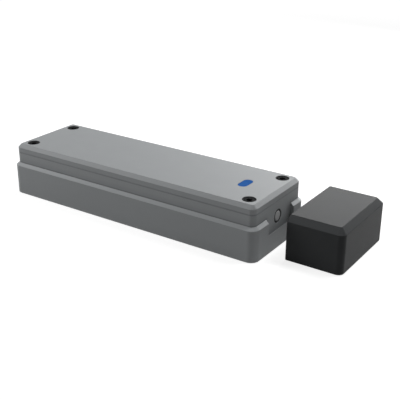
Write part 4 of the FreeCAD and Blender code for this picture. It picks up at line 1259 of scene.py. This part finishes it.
@dataclass
class BatteryPack:
    """Two AA cells in their tray, the contacts, and the leads to the board."""

    middle: float = -32.65
    half: float = 25.2
    radius: float = 7.1
    side: float = 7.2
    axis: float = 11.6
    button: float = 1.2
    green: Colour = (0.055, 0.235, 0.165)
    bands: tuple[Pair, ...] = ((15.5, 14.0), (13.0, -1.0))
    lead_low: float = 15.3
    lead_from: float = -5.1
    lead_to: float = 6.65
    lead_radius: float = 0.6
    lead_pitch: float = 2.5

    def build(self) -> None:
        """Build and dress the tray, cells, contacts, leads and plug."""
        copied("battery_tray", "cell_tray", TRAY, 0.2, 3)
        self.cell(1, -1)
        self.cell(2, 1)
        for node in ("positive_contact", "negative_contact", "contact_bridge"):
            copied(node, f"{node}_spring", NICKEL, 0.06)
        self.lead("red", -1, RED_SHEATH)
        self.lead("black", 1, BLACK_SHEATH)
        self.header()
        self.plug()

    def cell(self, number: int, side: int) -> None:
        """Build one cell.

        Args:
            number: 1 for the near cell, 2 for the far one.
            side: -1 for the near side. The near cell has its button towards the board.
        """
        low, high, radius, end = -self.half, self.half, self.radius, self.half - self.button
        sleeve = lifted(low, (0, 0.25), (5.4, 0.25), (5.4, 0.02), (6.3, 0.02), (6.85, 0.18), (radius, 0.6))
        sleeve += lifted(end, (radius, -0.75), (6.9, -0.3), (6.4, -0.08), (5.6, -0.05), (5.6, -0.35), (0, -0.35))
        cap = lifted(end, (0, -0.5), (5.4, -0.5), (5.4, -0.22), (3.6, -0.12), (3.1, 0.05), (2.75, 0.3))
        cap += lifted(high, (2.75, -0.3), (2.6, -0.08), (2.2, 0), (0, 0))
        foot = lifted(low, (0, 0), (4.6, 0), (4.9, 0.1), (5.2, 0.3), (5.2, 0.5), (0, 0.5))
        bands = tuple(tuple(self.middle - side * (end - back) for back in band) for band in self.bands)
        finish = SleeveFinish(f"cell_sleeve_{number}", "cell_wrap", self.green, 0.3, coat=0.3, bands_mm=bands)
        rest = {"smooth": 40, "place": (self.middle, side * self.side, self.axis), "turn": 180.0 if side > 0 else 0.0}
        shaped(f"cell_{number}_sleeve", turned_mesh(sleeve, Axis.X, count=64), finish, f"battery_cell_{number}", **rest)
        shaped(f"cell_{number}_ends", joined(turned_mesh(cap, Axis.X), turned_mesh(foot, Axis.X)), STEEL, **rest)

    def lead(self, name: str, side: int, finish: Finish) -> None:
        """Run a lead in an arch from its soldered tab to the plug.

        Args:
            name: its colour.
            side: -1 for the near side.
            finish: its finish.
        """
        low, left, right, y = self.lead_low, self.lead_from, self.lead_to, side * self.lead_pitch / 2
        bow, crown = y + 0.25 * side, y + 0.45 * side
        route = [(left, y, low + 0.5), (left, y, low + 3.4), (left + 1.6, bow, low + 6.6),
                 ((left + right) / 2, crown, low + 7.4), (right - 1.6, bow, low + 6.6), (right, y, low + 3.4),
                 (right, y, low)]
        dressed(softened(tube(f"{name}_lead", route, self.lead_radius), smooth=60), finish, f"lead_{name}")
        blob = lifted(low, (0, -0.02), (0.95, -0.02), (0.85, 0.2), (0.6, 0.45), (0.4, 0.9), (0, 0.9))
        shaped(f"{name}_solder", turned_mesh(blob, centre=(left, y, 0), count=24), TIN, smooth=60)

    def header(self) -> None:
        """Build the board header with its pins."""
        x, y, (z0, z1) = reach("battery_header")
        shaped("header_shroud", boxes((x, y, (z0 + 0.1, z1))), CONNECTOR, "battery_header", edge=0.18, segments=3)
        pins = [((x[1] - 0.1, x[1] + 1.0), around(way, 0.32), (z0, z0 + 0.3))
                for way in around(0.0, self.lead_pitch / 2)]
        shaped("header_pins", boxes(*pins), NICKEL, edge=0.05)

    def plug(self) -> None:
        """Build the plug with its latch and a raised block over each way."""
        (x0, x1), y, (z0, z1) = reach("lead_plug")
        shell = [((x0, x1), y, (z0, z1 - 0.35))]
        shell += [((x0 + 0.9, x1 - 0.9), around(way, 0.85), (z1 - 0.5, z1)) for way in around(0.0, self.lead_pitch / 2)]
        shell += [((x1 - 0.1, x1 + 0.5), around(0.0, 0.9), (z0 - 1.2, z1 - 0.35))]
        shaped("plug_shell", boxes(*shell), CONNECTOR, "lead_plug", edge=0.12)


@dataclass
class ElectronicsBoard:
    """The circuit board with its screws and everything soldered to it."""

    top: float = 10.6
    screw_axes: tuple[Pair, ...] = ((6.25, -14.4), (51.75, 14.4))
    joint_pitch: float = 1.8
    leg_pitch: float = 0.5
    in_a_row: int = 12
    crystal_at: Pair = (23.5, 7.0)
    chips: tuple[Point, ...] = (
        (13.0, 5.0, 90), (15.0, 5.0, 90), (17.0, 5.0, 90), (19.2, 7.6, 0), (19.2, 5.6, 0), (13.0, 1.2, 0),
        (16.0, 1.2, 0), (30.0, 10.2, 90), (32.0, 10.2, 90), (34.0, 10.2, 90), (30.0, 14.2, 0), (33.4, 14.2, 0),
        (36.6, 14.2, 0), (36.4, 10.2, 90), (40.0, 12.0, 0), (40.0, 10.0, 0), (43.4, 12.0, 90), (45.4, 12.0, 90),
        (52.0, 5.4, 0), (52.0, 3.4, 0), (52.0, -5.0, 90), (54.0, -5.0, 90), (56.0, -5.0, 90), (57.6, -9.0, 0),
        (57.6, -11.0, 0), (13.4, -4.4, 0), (16.6, -4.4, 0), (13.4, -7.0, 90), (15.6, -7.0, 90), (18.4, -7.4, 0),
        (6.0, 8.0, 0), (6.0, 10.2, 0), (6.0, 12.4, 90), (12.4, -12.8, 0), (15.8, -12.8, 0), (19.0, -13.6, 90),
        (55.4, -13.4, 0), (55.4, -15.6, 0), (63.0, 5.4, 90), (63.0, -5.6, 90), (24.5, -9.2, 0), (28.5, -9.2, 0),
        (47.0, -9.4, 0), (43.0, -9.4, 0))
    hole_rows: tuple[float, ...] = (-17.2, -10.6, 7.8, 17.6)
    hole_columns: int = 18

    def build(self) -> None:
        """Build and dress the board and its parts."""
        copied("circuit_board", "board_plate", MASK, 0.08)
        self.screws()
        self.radio()
        self.controller()
        self.store()
        self.reed()
        self.lamp()
        self.small_parts()
        self.holes()
        crystal = mesh_of_rings([rounded_ring(1.6, 1.0, 0.3, height, 3) for height in (0.0, 0.75)])
        shaped("crystal_can", crystal, TIN, edge=0.1, place=(*self.crystal_at, self.top))

    def screws(self) -> None:
        """Build the two cross-slotted board screws."""
        top = self.top
        profile = lifted(top, (0, -6), (0.8, -6), (1, -5.6), (1, -0.1), (2.2, 0.02), (2.2, 0.5), (1.9, 1.1),
                         (1.2, 1.45), (0, 1.5))
        heads = [turned_mesh(profile, centre=(x, y, 0), count=40) for x, y in self.screw_axes]
        shaped("board_screw_heads", joined(*heads), STEEL, "board_screws", smooth=40)
        slots = [(around(x, half_x), around(y, half_y), (top + 0.9, top + 1.53)) for x, y in self.screw_axes
                 for half_x, half_y in ((1.1, 0.22), (0.22, 1.1))]
        shaped("board_screw_slots", boxes(*slots), EPOXY, edge=0.04)

    def radio(self) -> None:
        """Build the radio module with its castellated edges, can and aerial."""
        copied("radio_module", "radio_board", MODULE, 0.06)
        copied("radio_shield", "radio_can", TIN, 0.25, 3)
        x, y, (low, _) = reach("radio_module")
        half = (y[1] - y[0]) / 2
        pad = boxes((around(0.0, 0.42), (half - 0.75, half + 0.35), (low - 0.02, low + 0.28)))
        pads = Repeat("module_joints", TIN).rows(pad, 0.1, self.in_a_row, self.joint_pitch, 2)
        dressed(moved(pads, (sum(x) / 2, sum(y) / 2, 0)), TIN)
        copied("aerial", "aerial_sheet", STRIP, 0.1)

    def controller(self) -> None:
        """Build the controller with gull-wing legs and an index dot."""
        x, y, (low, high) = reach("controller_chip")
        middle, half = (sum(x) / 2, sum(y) / 2, 0), (x[1] - x[0]) / 2 - 0.55
        rings = [rounded_ring(size, size, 0.15, height, 2)
                 for size, height in ((half, low + 0.12), (half + 0.1, low + 0.62), (half, high))]
        shaped("controller_body", mesh_of_rings(rings), EPOXY, "controller_chip", edge=0.05, place=middle)
        wide = around(0.0, 0.11)
        leg = boxes((wide, (half, half + 0.3), (low + 0.5, low + 0.66)),
                    (wide, (half + 0.2, half + 0.34), (low + 0.02, low + 0.66)),
                    (wide, (half + 0.2, half + 0.62), (low, low + 0.14)))
        legs = Repeat("controller_legs", TIN).rows(leg, 0.0, self.in_a_row, self.leg_pitch, 4)
        dressed(moved(legs, middle), TIN)
        dot = lifted(high, (0, -0.05), (0.35, -0.05), (0.32, 0.02), (0, 0.02))
        corner = (middle[0] - half + 0.8, middle[1] - half + 0.8, 0)
        shaped("controller_dot", turned_mesh(dot, centre=corner, count=20), LAMP)

    def store(self) -> None:
        """Build the hold-up capacitor: sleeved can, crimp, vented top and pale stripe."""
        x, y, (low, high) = reach("hold_up_capacitor")
        radius, centre = (x[1] - x[0]) / 2, (sum(x) / 2, sum(y) / 2, 0)
        crimp, rim = radius - 0.3, radius - 0.5
        can = lifted(low, (0, 0), (radius - 0.1, 0), (radius, 0.2), (radius, 1.2), (crimp, 1.5), (crimp, 1.7),
                     (radius, 2.0))
        can += lifted(high, (radius, -0.5), (radius - 0.15, -0.15), (rim, 0), (rim - 0.2, 0), (rim - 0.25, -0.12),
                      (0, -0.12))
        shaped("capacitor_can", turned_mesh(can, centre=centre, count=56), SLEEVE, "hold_up_capacitor", smooth=50)
        disc = lifted(high, (0, -0.13), (rim - 0.3, -0.13), (rim - 0.35, -0.05), (0, -0.05))
        shaped("capacitor_top", turned_mesh(disc, centre=centre, count=40), TIN)
        vents = [(around(centre[0], half_x), around(centre[1], half_y), (high - 0.06, high - 0.02))
                 for half_x, half_y in ((2.2, 0.09), (0.09, 2.2))]
        shaped("capacitor_vents", boxes(*vents), EPOXY)
        stripe = bmesh.new()
        rows = []
        for degrees in range(-120, -75, 5):
            angle, out = math.radians(degrees), radius + 0.02
            rows.append([stripe.verts.new((centre[0] + out * math.cos(angle), centre[1] + out * math.sin(angle), z))
                         for z in (low + 2.1, high - 0.6)])
        for first, second in zip(rows, rows[1:]):
            stripe.faces.new((first[0], second[0], second[1], first[1]))
        band = object_of("capacitor_stripe", stripe)
        solid = band.modifiers.new("thickness", "SOLIDIFY")
        solid.thickness = 0.04 * MM
        dressed(softened(flattened(band), smooth=50), LAMP)

    def reed(self) -> None:
        """Build the reed switch: glass with drawn-in ends, blades inside and bent wires."""
        span_x, (low, high), span_z = reach("reed_glass")
        x, z, radius = sum(span_x) / 2, sum(span_z) / 2, (span_x[1] - span_x[0]) / 2
        near = [(0.28, 0.0), (0.6, 0.15), (0.9, 0.6), (radius, 1.5)]
        profile = [(size, low + off) for size, off in near] + [(size, high - off) for size, off in reversed(near)]
        shaped("reed_tube", turned_mesh(profile, Axis.Y, (x, 0, z), 32), GLASS, "reed_glass", smooth=60)
        middle, wide = (low + high) / 2, around(x, 0.45)
        blades = boxes((wide, (low + 0.4, middle + 0.7), (z - 0.02, z + 0.12)),
                       (wide, (middle - 0.7, high - 0.4), (z + 0.2, z + 0.34)))
        shaped("reed_blades", blades, NICKEL, edge=0.03)
        wires = []
        for name, sign, end in (("near", -1, low), ("far", 1, high)):
            route = [(x, end - sign * 0.6, z), (x, end + sign * 0.9, z), (x, end + sign * 1.2, z - 0.1),
                     (x, end + sign * 1.2, self.top - 0.1)]
            wires.append(tube(f"{name}_reed_wire", route, 0.27, 12))
        dressed(softened(merged("reed_leads", *wires), smooth=60), NICKEL, "reed_wires")

    def lamp(self) -> None:
        """Build the status lamp: pale body with a domed lens, and two end terminals."""
        (x0, x1), (y0, y1), (z0, z1) = reach("status_lamp")
        lens = lifted(z1, (0, -0.6), (1.15, -0.6), (1.05, -0.2), (0.7, -0.03), (0, 0))
        body = joined(boxes(((x0 + 0.1, x1 - 0.1), (y0 + 0.4, y1 - 0.4), (z0 + 0.05, z1 - 0.5))),
                      turned_mesh(lens, centre=((x0 + x1) / 2, (y0 + y1) / 2, 0), count=32))
        shaped("lamp_body", body, LAMP, "status_lamp", edge=0.08)
        ends = [((x0 + 0.3, x1 - 0.3), (y, y + 0.45), (z0, z0 + 0.5)) for y in (y0, y1 - 0.45)]
        shaped("lamp_terminals", boxes(*ends), TIN, edge=0.05)

    def spread(self, name: str, made: Mesh, edge: float, places: list[Point], finish: Finish) -> None:
        """Repeat one small part over the board and dress the result.

        Args:
            name: the result's name.
            made: the part's mesh, standing on the origin.
            edge: size of its rounded edges.
            places: x, y and the turn in degrees.
            finish: its finish.
        """
        part = softened(object_of("part", made), edge)
        dressed(Repeat(name, finish).placed(part, [(x, y, self.top, turn) for x, y, turn in places]), finish)

    def small_parts(self) -> None:
        """Set chip resistors and capacitors on fixed places, with a terminal at each end."""
        chips, wide = self.chips, around(0.0, 0.6)
        self.spread("chip_resistors", boxes((wide, around(0.0, 0.4), (0.02, 0.42))), 0.04,
                    chips[0::3] + chips[1::3], EPOXY)
        self.spread("chip_capacitors", boxes((wide, around(0.0, 0.42), (0.02, 0.75))), 0.05, chips[2::3], CAPACITOR)
        ends = boxes(*((side, around(0.0, 0.44), (0.0, 0.5)) for side in ((-0.86, -0.56), (0.56, 0.86))))
        self.spread("chip_terminals", ends, 0.06, chips, TIN)

    def holes(self) -> None:
        """Plate the holes, which stand in rows that leave out the screw and the capacitor."""
        ring = turned_mesh([(0.12, -0.3), (0.12, 0.035), (0.34, 0.035), (0.34, 0.0), (0.3, -0.3)], count=16)
        grid = ((4.0 + 3.1 * column, row) for row in self.hole_rows for column in range(self.hole_columns))
        places = [(x + 0.6 * (number % 2), y, 0.0) for number, (x, y) in enumerate(grid)
                  if not (9.4 < x < 18.8 and y > 8.5) and not (19 < x < 28.2 and y > 8.8)]
        self.spread("plated_holes", ring, 0.0, places, BRASS)


@dataclass
class MagnetBlock:
    """The near-black block with its closing plate, bar magnet and pad."""

    edge: float = 0.2

    def build(self) -> None:
        """Build and dress the block's pieces."""
        copied("magnet_housing", "magnet_cap", MAGNET, self.edge, 3, Body.MAGNET)
        copied("magnet_plate", "magnet_back", MAGNET, 0.15, body=Body.MAGNET)
        copied("bar_magnet", "ferrite_bar", FERRITE, 0.4, 3, Body.MAGNET)
        copied("magnet_tape", "magnet_pad", FOAM, 0.15, body=Body.MAGNET)


# -------- studio


def seen_rays(graph: Graph) -> Value:
    """1 for camera, mirror and glass rays, else 0.

    Args:
        graph: the floor's or the surround's tree.

    Returns:
        The factor.
    """
    path = graph.node("ShaderNodeLightPath")
    camera, mirror, glass = (Value(graph, path.outputs[f"Is {kind} Ray"])
                             for kind in ("Camera", "Glossy", "Transmission"))
    return camera.math("MAXIMUM", mirror).math("MAXIMUM", glass)


@dataclass(frozen=True)
class Lamp:
    """A round soft lamp: its place and size in metres and its power in watts."""

    name: str
    place: Point
    size: float
    power: float


@dataclass
class Studio:
    """A pale floor, soft lamps, a white surround and the camera at the photo's angle."""

    lens: float = 70.11
    sensor: float = 36.0
    sight: Pair = (0.01, 20.0)
    camera_at: Point = (226.84, -291.07, 164.53)
    azimuth: float = 34.078
    elevation: float = 23.458
    roll: float = 0.234
    aim: Point = (0.02, 0.0, 0.015)
    floor_half: float = 2.5
    floor_drop: float = 0.0003
    paper: Colour = (0.42, 0.42, 0.42)
    glow: float = 0.8
    near: float = 0.3
    far: float = 0.65
    bounce: Colour = (0.45, 0.45, 0.45)
    fill: float = 0.01
    lamps: tuple[Lamp, ...] = (
        Lamp("low_back_lamp", (-0.157, 0.391, 0.22), 0.2, 0.13),
        Lamp("mirror_lamp", (-0.05, 0.4, 0.2), 0.2, 0.52),
        Lamp("back_lamp", (0.1, 0.45, 0.15), 0.2, 1.34),
        Lamp("left_lamp", (-0.35, -0.2, 0.3), 0.2, 1.14),
        Lamp("right_lamp", (0.5, -0.6, 0.35), 0.4, 0.7),
        Lamp("end_lamp", (0.18, 0.08, 0.3), 0.1, 0.4),
    )

    def build(self) -> None:
        """Set up the camera, floor, lamps and surround."""
        bpy.context.scene.view_settings.view_transform = "Standard"
        self.camera()
        self.floor()
        for lamp in self.lamps:
            self.hang(lamp)
        self.surround()

    def camera(self) -> None:
        """Place the camera at the photo's viewing angle."""
        azimuth, elevation, roll = (math.radians(value) for value in (self.azimuth, self.elevation, self.roll))
        data = bpy.data.cameras.new("camera")
        data.lens, data.sensor_width, data.sensor_fit = self.lens, self.sensor, "HORIZONTAL"
        data.clip_start, data.clip_end = self.sight
        item = shown("camera", data)
        item.matrix_world = (Matrix.Translation(Vector(self.camera_at) * MM) @ Matrix.Rotation(azimuth, 4, "Z")
                             @ Matrix.Rotation(math.pi / 2 - elevation, 4, "X") @ Matrix.Rotation(roll, 4, "Z"))
        bpy.context.scene.camera = item

    def floor(self) -> None:
        """Lay the floor: white paper to camera, mirror and glass rays, and a darker bounce to the rest."""
        made, half = bmesh.new(), self.floor_half
        made.faces.new([made.verts.new((x * half, y * half, -self.floor_drop))
                        for x, y in ((-1, -1), (1, -1), (1, 1), (-1, 1))])
        item = object_of("floor", made, 1.0)
        graph = ShaderGraph("floor_paper")
        seen = seen_rays(graph)
        away = graph.node("ShaderNodeVectorMath", {"operation": "LENGTH"})
        graph.feed(away.inputs[0], graph.place)
        rise = Value(graph, away.outputs["Value"]).ranged(self.near, self.far, self.glow, 1.0)
        graph.set(Roughness=1.0, Specular_IOR_Level=0.0, Base_Color=graph.blended(seen, self.bounce, self.paper),
                  Emission_Color=(1, 1, 1), Emission_Strength=seen * rise)
        item.data.materials.append(graph.material)

    def hang(self, lamp: Lamp) -> None:
        """Hang one soft lamp, aimed at the object's middle.

        Args:
            lamp: its place, size and power.
        """
        data = bpy.data.lights.new(lamp.name, "AREA")
        data.shape, data.size, data.energy = "DISK", lamp.size, lamp.power
        item = shown(lamp.name, data)
        item.location = lamp.place
        item.visible_camera = False
        item.rotation_euler = (Vector(self.aim) - Vector(lamp.place)).to_track_quat("-Z", "Y").to_euler()

    def surround(self) -> None:
        """Show white to camera, mirror and glass rays, and give a soft fill to the rest."""
        world = bpy.data.worlds.new("surround")
        bpy.context.scene.world = world
        world.use_nodes = True
        graph = Graph(world.node_tree)
        ground = graph.tree.nodes["Background"]
        graph.feed(ground.inputs["Color"], (1, 1, 1))
        graph.feed(ground.inputs["Strength"], seen_rays(graph).ranged(0.0, 1.0, self.fill, 1.0))


def main() -> None:
    """Build the sensor, the magnet block and the studio in order."""
    logging.basicConfig(level=logging.INFO, format="%(name)s: %(message)s")
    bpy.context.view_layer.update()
    case = SensorCase()
    case.build()
    Lid().build()
    for number, (x, y) in enumerate(case.screw_axes, start=1):
        LidScrew(number, x, y).build()
    EndButton().build()
    BatteryPack().build()
    ElectronicsBoard().build()
    MagnetBlock().build()
    Studio().build()


if __name__ == "__main__":
    main()
